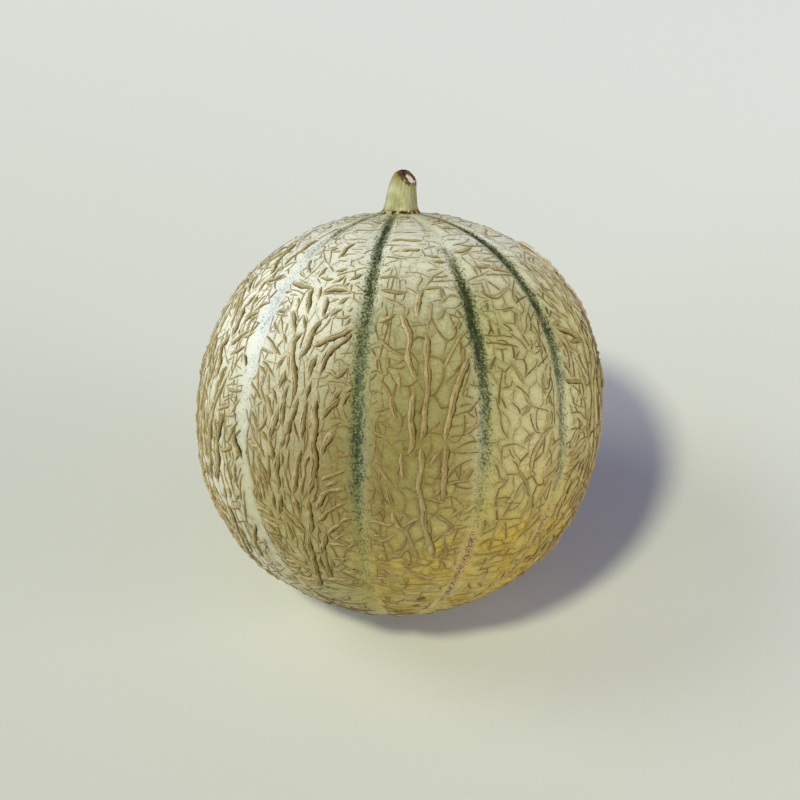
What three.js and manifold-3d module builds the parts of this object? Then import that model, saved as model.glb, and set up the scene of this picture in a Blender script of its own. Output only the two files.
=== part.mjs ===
// A whole netted melon with its stub of stem, lying tipped back on a small flat spot.
// Millimetres, +Z up. The origin is the middle of the flat spot, and the front of the fruit faces -Y.
import * as THREE from "three";
import { mergeVertices } from "three/addons/utils/BufferGeometryUtils.js";
import Module from "manifold-3d";

// Fruit, measured from its centre to the smooth rind
const EQUATOR_RADIUS = 70;
const HALF_HEIGHT = 70.5;
const STEM_HALF_SQUARENESS = 2.05; // superellipse exponents, where 2 is an ellipse
const BLOSSOM_HALF_SQUARENESS = 1.95;
const SHOULDER = { lon: 88, colat: 50, reach: 30, swell: 4.2 }; // one side is fuller
const LEAN = 33; // degrees that the stem tips back from upright
const REST_SPOT_RADIUS = 13;

// Sutures, the smooth green furrows that run from the stem to the blossom end
const SUTURE_LONGITUDES = [-46.5, -10.5, 23.8, 51.5, 88, 125, 162, 200, 238, 276]; // 0 is the front
const SUTURE_HALF_WIDTH = 3.2; // of the bare band, at the equator
const SUTURE_NARROWEST = 0.45; // share of that width left at the ends
const FURROW_DEPTH = 0.8;
const FURROW_REACH = 2.6;
const RIB_DEPTH = 1.0; // broad hollow on both sides of each furrow
const RIB_REACH = 9;

// Cork net, a ridge along every side of the cells that divide each panel between two sutures
const NET_SEED = 1897;
const NET_FIRST_COLAT = 7; // the net starts at this angle from the stem
const NET_LAST_COLAT = 169;
const NET_HEIGHT = 0.95;
const NET_HALF_WIDTH = 1.25;
const NET_SHORTEST_SIDE = 0.9;
const NET_SIDE_BEND = 0.5;
const CORNER_LIFT = { least: 0.75, spread: 0.4 }; // share of the net's height where ridges meet
const SIDE_LIFT = { least: 0.85, spread: 0.2 }; // share of the higher corner's lift, halfway along a ridge
const FOOT_REACH = 1.25; // a ridge's foot at a cell's corner, in half widths of the ridge
const FOOT_SHARE_LEAST = 0.35; // smallest share of a cell that its bare floor keeps
const CELL_JITTER = { across: 0.26, along: 0.42 }; // share of a cell
const ROW_STAGGER = 0.2; // share of a cell by which rows shift left and right in turn
const OPEN_RUNGS = 0.22; // share of the sides across the fruit that stay low
const OPEN_RUNG_HEIGHT = 0.25;
const RUNG_SLOPE = 0.8; // a side is a rung where it is flatter than this
// Degrees that a cell is tall and the number of cells across a panel, both by colatitude
const CELL_HEIGHT = [[7, 5], [30, 6], [46, 13], [80, 15], [112, 14], [140, 8], [169, 6.5]];
const CELLS_ACROSS = [[7, 1], [30, 1.4], [46, 3.8], [80, 5], [115, 4.6], [140, 3], [169, 2]];
const PANEL_DENSITY = [1.12, 0.9, 1.0, 1.15, 0.95, 1.1, 0.9, 1.05, 1.0, 1.15]; // more or fewer cells across

// Stem stub, measured along the fruit's axis from the rind
const STEM_GAP = 0.3;
const STEM_SIDES = 30;
// Height and radius of each ring below the snapped end
const STEM_RINGS = [[0, 7.2], [0.7, 6.5], [2.2, 6.1], [5, 5.9], [8, 5.5], [10.4, 4.95], [12.3, 4.0]];
const STEM_RIBS = 5;
const STEM_RIB_DEPTH = 0.3;
const STEM_RIB_FADE = 4; // ribs get shallower where the stem is thinner than this radius
const STEM_SWAY = 1.3; // how far the top leans to the right
const STEM_BREAK = { height: 13.6, radius: 2.6, slope: 0.2, pit: 0.9 }; // the snapped end, facing right

// Block below the floor, which cuts the rest spot
const FLOOR_WIDTH = 4 * EQUATOR_RADIUS;
const FLOOR_THICKNESS = 20;

const RIND_COLOUR = 0xc9c58e;
const STEM_COLOUR = 0xb0ac6c;

const rad = THREE.MathUtils.degToRad;
const wrap = (degrees) => THREE.MathUtils.euclideanModulo(degrees, 360);
const wasm = await Module();
wasm.setup();

// Random numbers from 0 to 1 that are the same on every run.
function seededDraw(seed) {
  let state = seed;
  return () => {
    state = (Math.imul(state, 1664525) + 1013904223) >>> 0;
    return state / 2 ** 32;
  };
}

// A value read off a list of [position, value] pairs, straight between them.
function along(pairs, position) {
  const next = pairs.findIndex((pair) => pair[0] >= position);
  if (next === 0) return pairs[0][1];
  if (next < 0) return pairs[pairs.length - 1][1];
  const [[p0, v0], [p1, v1]] = [pairs[next - 1], pairs[next]];
  return v0 + ((v1 - v0) * (position - p0)) / (p1 - p0);
}

function direction(lon, colat) {
  const across = Math.sin(rad(colat));
  return new THREE.Vector3(across * Math.sin(rad(lon)), -across * Math.cos(rad(lon)), Math.cos(rad(colat)));
}

// Distance in millimetres round the fruit from a longitude to the nearest suture.
function sutureDistance(lon, colat) {
  const turnFrom = (suture) => Math.abs(wrap(lon - suture + 180) - 180);
  return rad(Math.min(...SUTURE_LONGITUDES.map(turnFrom))) * EQUATOR_RADIUS * Math.sin(rad(colat));
}

// Distance from the fruit's centre to the smooth rind.
function rindRadius(lon, colat) {
  const polar = Math.cos(rad(colat));
  const power = polar > 0 ? STEM_HALF_SQUARENESS : BLOSSOM_HALF_SQUARENESS;
  const form = (Math.sin(rad(colat)) / EQUATOR_RADIUS) ** power + (Math.abs(polar) / HALF_HEIGHT) ** power;
  const turn = direction(lon, colat).angleTo(direction(SHOULDER.lon, SHOULDER.colat));
  const swell = SHOULDER.swell * Math.exp(-((turn / rad(SHOULDER.reach)) ** 2));
  const off = sutureDistance(lon, colat);
  const openness = Math.sin(rad(colat)); // furrows close up towards both ends
  const furrow = FURROW_DEPTH * Math.exp(-((off / FURROW_REACH) ** 2)) * Math.sqrt(openness);
  const hollow = RIB_DEPTH * Math.exp(-((off / RIB_REACH) ** 2)) * openness;
  return form ** (-1 / power) + swell - furrow - hollow;
}

function rindPoint(lon, colat, lift = 0) {
  return direction(lon, colat).multiplyScalar(rindRadius(lon, colat) + lift);
}

// The part of a convex polygon that is nearer to one cell's seed than to another's.
function nearerPart(polygon, seed, other) {
  const square = ([x, y], from) => (x - from[0]) ** 2 + (y - from[1]) ** 2;
  const side = (point) => square(point, seed) - square(point, other);
  return polygon.flatMap((here, i) => {
    const next = polygon[(i + 1) % polygon.length];
    const [s0, s1] = [side(here), side(next)];
    const kept = s0 <= 0 ? [here] : [];
    if (s0 < 0 === s1 < 0) return kept;
    const share = s0 / (s0 - s1);
    return [...kept, [here[0] + share * (next[0] - here[0]), here[1] + share * (next[1] - here[1])]];
  });
}

// Rows of cells from the stem to the blossom end. x runs from 0 to 1 across the panel, and y counts
// rows in the same unit, so that cells that are even in x and y are as tall on the fruit as they should be.
function layCells(density, draw) {
  const rows = [];
  let colat = NET_FIRST_COLAT;
  let y = 0;
  while (colat < NET_LAST_COLAT) {
    const across = along(CELLS_ACROSS, colat) * density;
    rows.push({ colat, y, across });
    colat += along(CELL_HEIGHT, colat);
    y += 1 / across;
  }
  const stretch = (NET_LAST_COLAT - NET_FIRST_COLAT) / (colat - NET_FIRST_COLAT);
  const levels = rows.map((row) => [row.y, NET_FIRST_COLAT + (row.colat - NET_FIRST_COLAT) * stretch]);
  levels.push([y, NET_LAST_COLAT]);
  const jitter = (share) => share * (2 * draw() - 1);
  const seeds = rows.flatMap((row, level) => {
    const count = Math.max(1, Math.round(row.across));
    const stagger = level % 2 ? ROW_STAGGER : -ROW_STAGGER;
    return Array.from({ length: count }, (_, i) => [
      (i + 0.5 + (count > 1 ? stagger : 0) + jitter(CELL_JITTER.across)) / count,
      row.y + (0.5 + jitter(CELL_JITTER.along)) / row.across,
    ]);
  });
  return { seeds, height: y, colatAt: (level) => along(levels, level) };
}

// Collects shared vertices and triangles of one closed surface.
class Surface {
  positions = [];
  triangles = [];
  named = new Map();

  vertex(name, place) {
    if (!this.named.has(name)) this.named.set(name, this.positions.push(place()) - 1);
    return this.named.get(name);
  }

  triangle(...corners) {
    if (new Set(corners).size === 3) this.triangles.push(...corners);
  }

  geometry() {
    const made = new THREE.BufferGeometry().setFromPoints(this.positions);
    return made.setIndex(this.triangles);
  }
}

// One panel between two sutures. It returns the vertices along its left and right side and its two ends.
function buildPanel(surface, panel, draw) {
  const left = SUTURE_LONGITUDES[panel];
  const right = SUTURE_LONGITUDES[(panel + 1) % SUTURE_LONGITUDES.length];
  const width = wrap(right - left);
  const { seeds, height, colatAt } = layCells(PANEL_DENSITY[panel], draw);
  const place = ([x, y]) => {
    const colat = colatAt(y);
    const band = bareHalfWidth(colat) / (EQUATOR_RADIUS * Math.sin(rad(colat)) * rad(width));
    return [left + width * (band + x * (1 - 2 * band)), colat];
  };

  // Corners that two or three cells share become one, and very short sides close up.
  const corners = [];
  const cornerOf = (point) => {
    const here = rindPoint(...place(point));
    const edge = onEdge(point, height);
    const known = corners.findIndex((c) => c.edge === edge && c.here.distanceTo(here) < NET_SHORTEST_SIDE);
    if (known >= 0) return known;
    const lift = edge ? 0 : NET_HEIGHT * (CORNER_LIFT.least + CORNER_LIFT.spread * draw());
    return corners.push({ point, here, edge, lift }) - 1;
  };
  const frame = [[0, 0], [1, 0], [1, height], [0, height]];
  frame.forEach(cornerOf);
  const cells = seeds.map((seed) => {
    const others = seeds.filter((other) => other !== seed);
    const polygon = others.reduce((part, other) => nearerPart(part, seed, other), frame);
    const loop = polygon.map(cornerOf);
    return loop.filter((corner, i) => corner !== loop[(i + 1) % loop.length]);
  });

  const cornerVertex = (corner) => {
    const { point, lift } = corners[corner];
    return surface.vertex(`panel ${panel} corner ${corner}`, () => rindPoint(...place(point), lift));
  };
  const shared = { corners, cornerVertex, place, draw };
  for (const [number, cell] of cells.entries())
    if (cell.length > 2) buildCell(surface, `panel ${panel}`, number, cell, shared);

  const sorted = (edge, axis) =>
    corners
      .map((corner, index) => ({ ...corner, index }))
      .filter((corner) => edge.includes(corner.edge))
      .sort((a, b) => a.point[axis] - b.point[axis])
      .map((corner) => ({ vertex: cornerVertex(corner.index), colat: colatAt(corner.point[1]) }));
  return {
    left: sorted(["left", "top left", "bottom left"], 1),
    right: sorted(["right", "top right", "bottom right"], 1),
    top: sorted(["top left", "top", "top right"], 0),
    bottom: sorted(["bottom left", "bottom", "bottom right"], 0),
  };
}

function bareHalfWidth(colat) {
  return SUTURE_HALF_WIDTH * (SUTURE_NARROWEST + (1 - SUTURE_NARROWEST) * Math.sin(rad(colat)));
}

// Which side or corner of its panel a point lies on, or nothing inside it.
function onEdge([x, y], height) {
  const tiny = 1e-6;
  const end = y < tiny ? "top" : y > height - tiny ? "bottom" : "";
  const side = x < tiny ? "left" : x > 1 - tiny ? "right" : "";
  return [end, side].filter(Boolean).join(" ");
}

// One cell: a bare floor, and half of the ridge along each of its sides.
function buildCell(surface, panel, number, cell, { corners, cornerVertex, place, draw }) {
  const points = cell.map((corner) => corners[corner].point);
  const middle = [0, 1].map((axis) => points.reduce((sum, point) => sum + point[axis], 0) / points.length);
  const centre = rindPoint(...place(middle));
  const feet = points.map((point, i) => {
    const reach = corners[cell[i]].here.distanceTo(centre);
    const share = Math.max(FOOT_SHARE_LEAST, 1 - (FOOT_REACH * NET_HALF_WIDTH) / reach);
    const foot = point.map((value, axis) => middle[axis] + share * (value - middle[axis]));
    return surface.vertex(`${panel} cell ${number} foot ${i}`, () => rindPoint(...place(foot)));
  });
  cell.forEach((corner, i) => {
    const next = (i + 1) % cell.length;
    const [a, b] = [cornerVertex(corner), cornerVertex(cell[next])];
    const crest = ridgeMiddle(surface, panel, corners, corner, cell[next], place, draw);
    if (crest === undefined) {
      surface.triangle(a, feet[i], b);
      surface.triangle(b, feet[i], feet[next]);
    } else {
      surface.triangle(a, feet[i], crest);
      surface.triangle(crest, feet[i], feet[next]);
      surface.triangle(crest, feet[next], b);
    }
  });
  for (let i = 1; i < feet.length - 1; i++) surface.triangle(feet[0], feet[i + 1], feet[i]);
}

// The crest halfway along a side, bent a little off the straight line. A side on the panel's edge has none.
function ridgeMiddle(surface, panel, corners, from, to, place, draw) {
  const [a, b] = [Math.min(from, to), Math.max(from, to)].map((corner) => corners[corner]);
  const shared = a.edge && b.edge && a.edge.split(" ").some((word) => b.edge.split(" ").includes(word));
  if (shared) return undefined;
  const name = `${panel} side ${Math.min(from, to)} ${Math.max(from, to)}`;
  return surface.vertex(name, () => {
    const point = [0, 1].map((axis) => (a.point[axis] + b.point[axis]) / 2);
    const run = b.here.clone().sub(a.here);
    const drop = rad(Math.abs(place(a.point)[1] - place(b.point)[1])) * EQUATOR_RADIUS;
    const rung = drop < RUNG_SLOPE * run.length();
    const open = rung && draw() < OPEN_RUNGS;
    const full = () => Math.max(a.lift, b.lift) * (SIDE_LIFT.least + SIDE_LIFT.spread * draw());
    const crest = rindPoint(...place(point), open ? OPEN_RUNG_HEIGHT : full());
    const sideways = crest.clone().cross(run).normalize();
    return crest.addScaledVector(sideways, NET_SIDE_BEND * (2 * draw() - 1));
  });
}

// The bare furrow between two panels: a middle line, joined to the vertices along both panels' sides.
function buildSuture(surface, index, leftSide, rightSide) {
  const lon = SUTURE_LONGITUDES[index];
  const line = leftSide.map(({ colat }, i) => ({
    colat,
    vertex: surface.vertex(`suture ${index} point ${i}`, () => rindPoint(lon, colat)),
  }));
  zip(surface, leftSide, line);
  zip(surface, line, rightSide);
  return line;
}

// Fills the strip between two lines of vertices that both run from the stem to the blossom end.
function zip(surface, left, right) {
  let [i, j] = [0, 0];
  while (i < left.length - 1 || j < right.length - 1) {
    const leftNext = i < left.length - 1 ? left[i + 1].colat : Infinity;
    const rightNext = j < right.length - 1 ? right[j + 1].colat : Infinity;
    if (leftNext <= rightNext) {
      surface.triangle(left[i].vertex, left[i + 1].vertex, right[j].vertex);
      i += 1;
    } else {
      surface.triangle(left[i].vertex, right[j + 1].vertex, right[j].vertex);
      j += 1;
    }
  }
}

// The bare end of the fruit inside the first or last ring of the net.
function closeEnd(surface, ring, colat, turn) {
  const pole = surface.vertex(`pole ${colat}`, () => rindPoint(0, colat));
  ring.forEach((vertex, i) => {
    const next = ring[(i + 1) % ring.length];
    if (turn > 0) surface.triangle(pole, vertex, next);
    else surface.triangle(pole, next, vertex);
  });
}

function buildFruitSurface() {
  const surface = new Surface();
  const draw = seededDraw(NET_SEED);
  const panels = SUTURE_LONGITUDES.map((_, panel) => buildPanel(surface, panel, draw));
  const count = panels.length;
  const before = (i) => panels[(i + count - 1) % count];
  const sutures = panels.map((panel, i) => buildSuture(surface, i, before(i).right, panel.left));
  const ring = (end) =>
    panels.flatMap((panel, i) => [
      (end === "top" ? sutures[i][0] : sutures[i].at(-1)).vertex,
      ...panel[end].map((corner) => corner.vertex),
    ]);
  closeEnd(surface, ring("top"), 0, 1);
  closeEnd(surface, ring("bottom"), 180, -1);
  return surface;
}

// The stub of stem: ribbed, swaying to one side, and snapped off at a slant with a shallow pit in the end.
function buildStemSurface() {
  const surface = new Surface();
  const top = STEM_BREAK.height;
  const seat = (radius) => rindRadius(0, THREE.MathUtils.radToDeg(radius / HALF_HEIGHT)) + STEM_GAP;
  const ringVertices = (name, radius, heightAt) =>
    Array.from({ length: STEM_SIDES }, (_, i) => {
      const lon = (360 * i) / STEM_SIDES;
      return surface.vertex(`${name} ${i}`, () => {
        const ribDepth = STEM_RIB_DEPTH * Math.min(1, radius / STEM_RIB_FADE);
        const ribbed = radius - ribDepth * (1 + Math.cos(rad(lon * STEM_RIBS)));
        const across = direction(lon, 90).multiplyScalar(ribbed);
        const height = heightAt(across.x);
        across.x += STEM_SWAY * Math.max(0, height / top) ** 2;
        return across.setZ(height + seat(radius));
      });
    });
  const slanted = (height) => (x) => height - STEM_BREAK.slope * (x * height) / top;
  const pitHeight = top - STEM_BREAK.pit;
  const rings = STEM_RINGS.map(([height, radius]) => ringVertices(`ring ${height}`, radius, slanted(height)));
  rings.push(ringVertices("break", STEM_BREAK.radius, slanted(top)));
  rings.push(ringVertices("pit", STEM_BREAK.radius / 2, slanted(pitHeight)));
  const foot = surface.vertex("foot", () => new THREE.Vector3(0, 0, seat(0)));
  const pit = surface.vertex("pit middle", () => new THREE.Vector3(STEM_SWAY, 0, pitHeight + seat(0)));
  for (let i = 0; i < STEM_SIDES; i++) {
    const next = (i + 1) % STEM_SIDES;
    surface.triangle(foot, rings[0][next], rings[0][i]);
    for (let level = 0; level < rings.length - 1; level++) {
      surface.triangle(rings[level][i], rings[level][next], rings[level + 1][i]);
      surface.triangle(rings[level][next], rings[level + 1][next], rings[level + 1][i]);
    }
    surface.triangle(pit, rings.at(-1)[i], rings.at(-1)[next]);
  }
  return surface;
}

function solidFrom(geometry) {
  const bare = geometry.clone();
  bare.deleteAttribute("normal");
  bare.deleteAttribute("uv");
  const merged = mergeVertices(bare);
  const mesh = new wasm.Mesh({
    numProp: 3,
    vertProperties: new Float32Array(merged.attributes.position.array),
    triVerts: new Uint32Array(merged.index.array),
  });
  return new wasm.Manifold(mesh);
}

function geometryFrom(solid) {
  const { vertProperties, triVerts } = solid.getMesh();
  const geometry = new THREE.BufferGeometry();
  geometry.setAttribute("position", new THREE.BufferAttribute(vertProperties, 3));
  geometry.setIndex(new THREE.BufferAttribute(triVerts, 1));
  geometry.computeVertexNormals();
  return geometry;
}

// Lean the fruit back about its centre, and lift it so that the floor takes off the rest spot.
const lowest = rindRadius(180, 180 - LEAN);
const centreHeight = lowest * Math.cos(Math.asin(REST_SPOT_RADIUS / lowest));
const leaning = new THREE.Matrix4().makeRotationX(-rad(LEAN)).setPosition(0, 0, centreHeight);

// The fruit, cut flat where it rests.
const whole = solidFrom(buildFruitSurface().geometry().applyMatrix4(leaning));
const floor = new THREE.BoxGeometry(FLOOR_WIDTH, FLOOR_WIDTH, FLOOR_THICKNESS);
floor.translate(0, 0, -FLOOR_THICKNESS / 2);
const fruit = new THREE.Mesh(
  geometryFrom(whole.subtract(solidFrom(floor))),
  new THREE.MeshStandardMaterial({ color: RIND_COLOUR, roughness: 0.6, metalness: 0 }),
);
fruit.name = "fruit";

const stemGeometry = buildStemSurface().geometry();
stemGeometry.computeVertexNormals();
const stem = new THREE.Mesh(
  stemGeometry,
  new THREE.MeshStandardMaterial({ color: STEM_COLOUR, roughness: 0.7, metalness: 0 }),
);
stem.name = "stem";
const axis = new THREE.Group();
axis.rotation.x = -rad(LEAN);
axis.position.z = centreHeight;
axis.add(stem);

const melon = new THREE.Group();
melon.add(fruit, axis);

export default melon;
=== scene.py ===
import math
import random
from collections import namedtuple

import bpy
import numpy as np
from mathutils import Matrix, Vector
from mathutils.geometry import delaunay_2d_cdt
from mathutils.kdtree import KDTree


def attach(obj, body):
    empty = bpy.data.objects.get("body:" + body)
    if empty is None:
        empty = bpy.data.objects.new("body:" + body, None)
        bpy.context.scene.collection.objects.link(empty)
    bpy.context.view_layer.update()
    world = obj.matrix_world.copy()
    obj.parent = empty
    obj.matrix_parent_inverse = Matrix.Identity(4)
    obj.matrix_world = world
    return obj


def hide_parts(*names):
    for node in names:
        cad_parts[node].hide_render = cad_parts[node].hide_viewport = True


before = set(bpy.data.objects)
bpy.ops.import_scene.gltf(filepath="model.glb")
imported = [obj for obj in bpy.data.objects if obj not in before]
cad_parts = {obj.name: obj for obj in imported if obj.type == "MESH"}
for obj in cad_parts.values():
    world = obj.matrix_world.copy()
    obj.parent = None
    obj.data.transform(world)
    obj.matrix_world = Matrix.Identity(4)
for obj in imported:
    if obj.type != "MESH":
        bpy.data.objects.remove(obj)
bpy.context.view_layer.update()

MM = 0.001

# Form of the fruit in millimetres and degrees, close to that of the solids
EQUATOR_RADIUS = 70
HALF_HEIGHT = 70.5
STEM_HALF_SQUARENESS = 2.05
BLOSSOM_HALF_SQUARENESS = 1.95
# Swells of the form, each with its longitude, colatitude, reach and height
SWELLS = [(88, 55, 30, 3.8), (-72, 120, 26, 1.1), (58, 130, 22, 0.8)]
LEAN = math.radians(33)
REST_SPOT_RADIUS = 13
SUTURES = np.radians([-46.5, -10.5, 23.8, 51.5, 88, 125, 162, 200, 238, 276])
SUTURE_TURNS = SUTURES.tolist()
SUTURE_HALF_WIDTH = 3.2
SUTURE_NARROWEST = 0.45
FURROW_DEPTH = 0.8
FURROW_REACH = 2.6
RIB_DEPTH = 1.0
RIB_REACH = 9

# Camera, with the picture taken as 800 pixels square
PICTURE = 800
SENSOR = 36
LENS = 81
VIEW_ELEVATION = math.radians(42)
VIEW_DISTANCE = 630
VIEW_ROLL = math.radians(0.8)
SHIFT_X, SHIFT_Y = 0.0031, 0.0175
SIGHT_ROUNDS = 5

# Mesh of the rind
RIND_SEGMENTS = 440
RIND_RINGS = 218
PILLOW_HEIGHT = 0.2
PILLOW_REACH = 1.5
RIDGE_FOOT_SHARE = 0.6

# Where the net grows: its ends, the steps of its strokes in millimetres, and the room that they keep
NET_SEED = 41
NET_FIRST_COLAT, NET_LAST_COLAT = math.radians(9), math.radians(170)
STROKE_STEP = 0.9
DRAWN_SIDE = 0.12
FLOOR_CLEARANCE = 1.3
START_MARGIN = 0.2
TOUCH_SHARE = 0.55
POLE_GUARD = 0.05
FINE_PANELS = (2, 5, 8)
OPEN_PANELS = (1, 2)
RIDGE_BULK, WALL_BULK = (0.8, 1.2), (0.85, 1.2)

# Bare strips along the sutures, with the shares of the left one high and low on the fruit,
# the colatitude from which it narrows and over which it does, and the waves of every strip's edges
BARE_SHARES = {0: (0.9, 0.45)}
NARROWS_FROM, NARROWS_OVER = 1.15, 0.45
EDGE_WAVE, SLOW_WAVES, FAST_WAVES = 0.25, 41, 97

# Belts of the net in degrees of colatitude, and distances from a suture in millimetres
LONG_BELT, LONG_CLEARANCE = (46, 130), 6
FLOW_BELT, FLOW_REACH = (36, 140), 7
COMB_BELT, COMB_REACH = (42, 140), 7
COMB_SLOPE, COUNTER_SLOPE, COMB_SHARE = 62, 110, 0.7
CROWN_RUNGS_END, OPEN_RUNGS_START, RUNGS_START = 44, 122, 132
EQUATOR_COLAT = 90

# Cells: the width of each panel's in millimetres, and how much longer than wide they are
CELLS = [(3.1, 2.6), (5.6, 1.5), (5.8, 1.2), (4.0, 1.8), (3.6, 2.2),
         (5.2, 1.2), (3.4, 2.4), (3.4, 2.2), (5.0, 1.3), (3.0, 2.8)]
CROWN_STRETCH, FOOT_STRETCH = 0.55, 1.0
CROWN_FADE, FOOT_FADE = (32, 58), (118, 140)
MAP_STEPS = 361
CELL_TRIES = 1600
CELL_ROOM = (0.62, 1.3)
CELL_OVERLAP, CELL_HIGHEST = 0.15, 0.99
CELL_TOUCH, CELL_SHORTEST = 0.9, 2.2
CELL_CHAIN = 6
CELL_MERGE = 1e-6
# Sizes of the cells' walls in the common panels and in the fine ones
WALL_SIZES = (("thin", "thin", "hair"), ("hair", "hair", "thin"))

# Shape of a cork ridge: its profile from the lit side to the shaded one, and half width and height by size
RIDGE_PROFILE = [
    (-1.0, -0.5), (-0.88, 0.25), (-0.55, 0.9), (-0.1, 1.0),
    (0.3, 0.74), (0.62, 0.3), (1.0, 0.04), (1.06, -0.5),
]
RIDGE_SIZES = {"thick": (1.3, 1.2), "middle": (0.85, 0.9), "thin": (0.4, 0.44), "hair": (0.24, 0.26)}
RIDGE_STATIONS = (5, 9, 15, 27, 41)
STATION_GAP = 0.85
# How far the ends of broad and of thin ridges narrow and sink
END_SHARES = {"thick": 0.2, "middle": 0.3, "thin": 0.85, "hair": 0.9}
END_REACH, END_START, END_SLOPE = 2.6, -0.4, 2.4
WAVER_LENGTH = 1.9
UNEVEN_SHARE = 0.3
LIP_LOWEST, LIP_HIGHEST, LIP_START = 0.68, 1.14, 0.5
EDGE_SHARE = 0.13
SWAY_SHARE = 0.13
SHADE_SIDE_DROP = 0.6

# Cork ridges of the front, drawn in pixels of the picture, by panel from left to right and by thickness
FAR_LEFT_RIDGES = {
    "thick": [
        [(246, 305), (242, 315), (239, 323), (236, 330), (232, 337)],
        [(210, 339), (206, 348), (204, 355), (202, 362), (200, 368)],
        [(231, 334), (227, 341), (223, 347), (222, 354), (221, 362), (219, 370), (217, 378)],
        [(214, 400), (212, 416), (211, 435), (211, 455), (212, 473), (214, 482)],
        [(222, 411), (222, 419), (220, 427), (218, 445), (219, 462), (218, 475), (219, 483)],
        [(210, 484), (213, 491), (216, 499), (220, 507), (224, 516), (227, 521)],
        [(227, 501), (230, 508), (234, 515), (236, 521)],
        [(230, 507), (235, 519), (239, 530), (244, 540), (249, 550), (258, 562)],
        [(230, 530), (237, 540), (245, 550), (254, 560), (263, 567), (272, 575), (282, 583)],
    ],
    "middle": [
        [(297, 244), (291, 250), (283, 257), (278, 263), (275, 270), (270, 276)],
        [(285, 248), (278, 253), (270, 260), (263, 266)],
        [(285, 275), (278, 279), (272, 281), (267, 282), (262, 288), (258, 294)],
        [(257, 294), (250, 303), (244, 308)], [(247, 287), (243, 298), (240, 306), (236, 315)],
        [(243, 291), (238, 301), (233, 311)], [(248, 278), (238, 292), (228, 308)],
        [(240, 306), (235, 317), (232, 328)], [(260, 312), (250, 317), (243, 325)],
        [(257, 317), (250, 321)], [(251, 330), (244, 334), (240, 338), (234, 343), (231, 346)],
        [(247, 346), (240, 350), (235, 352), (231, 355)],
        [(220, 331), (217, 338), (214, 346), (213, 352), (210, 364), (208, 368)],
        [(208, 371), (207, 379), (205, 388), (203, 405), (202, 412)],
        [(228, 366), (224, 371), (222, 377), (219, 384), (217, 392), (214, 400)],
        [(221, 405), (227, 403)], [(218, 410), (223, 408), (229, 406), (231, 404)],
        [(206, 408), (205, 416), (206, 424), (205, 432), (207, 450), (208, 458)],
        [(201, 440), (202, 450), (204, 468), (206, 476), (209, 484)],
        [(206, 460), (208, 468), (209, 476)], [(224, 485), (226, 492), (227, 499)],
        [(229, 485), (231, 492), (231, 498)], [(230, 444), (232, 448), (226, 450), (220, 450)],
        [(231, 516), (236, 528), (240, 538), (247, 548), (253, 558)],
        [(258, 561), (265, 566), (270, 569)],
    ],
    "thin": [
        [(315, 231), (300, 240), (289, 246)], [(312, 234), (303, 240), (297, 248)],
        [(297, 262), (292, 267), (286, 272)], [(266, 296), (260, 302), (255, 308)],
        [(262, 291), (270, 290)], [(250, 294), (257, 290)], [(264, 270), (273, 268)],
        [(243, 353), (242, 362)], [(212, 344), (209, 352), (206, 360), (205, 368)],
        [(230, 370), (229, 378)], [(227, 386), (232, 384), (237, 385)],
        [(224, 398), (230, 395), (235, 395)], [(225, 401), (231, 398), (236, 397)],
        [(227, 417), (234, 416)], [(221, 424), (227, 427), (232, 425)],
        [(201, 413), (200, 422), (199, 440)], [(221, 470), (223, 476)],
        [(222, 500), (226, 508), (230, 514)], [(233, 484), (235, 490)], [(237, 484), (239, 489)],
        [(233, 452), (234, 460), (231, 468)], [(231, 460), (228, 466), (227, 471)],
        [(226, 440), (230, 445)], [(232, 502), (239, 501), (241, 507)], [(251, 541), (255, 548)],
        [(272, 572), (280, 576)], [(235, 522), (246, 521)],
    ],
}
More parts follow.
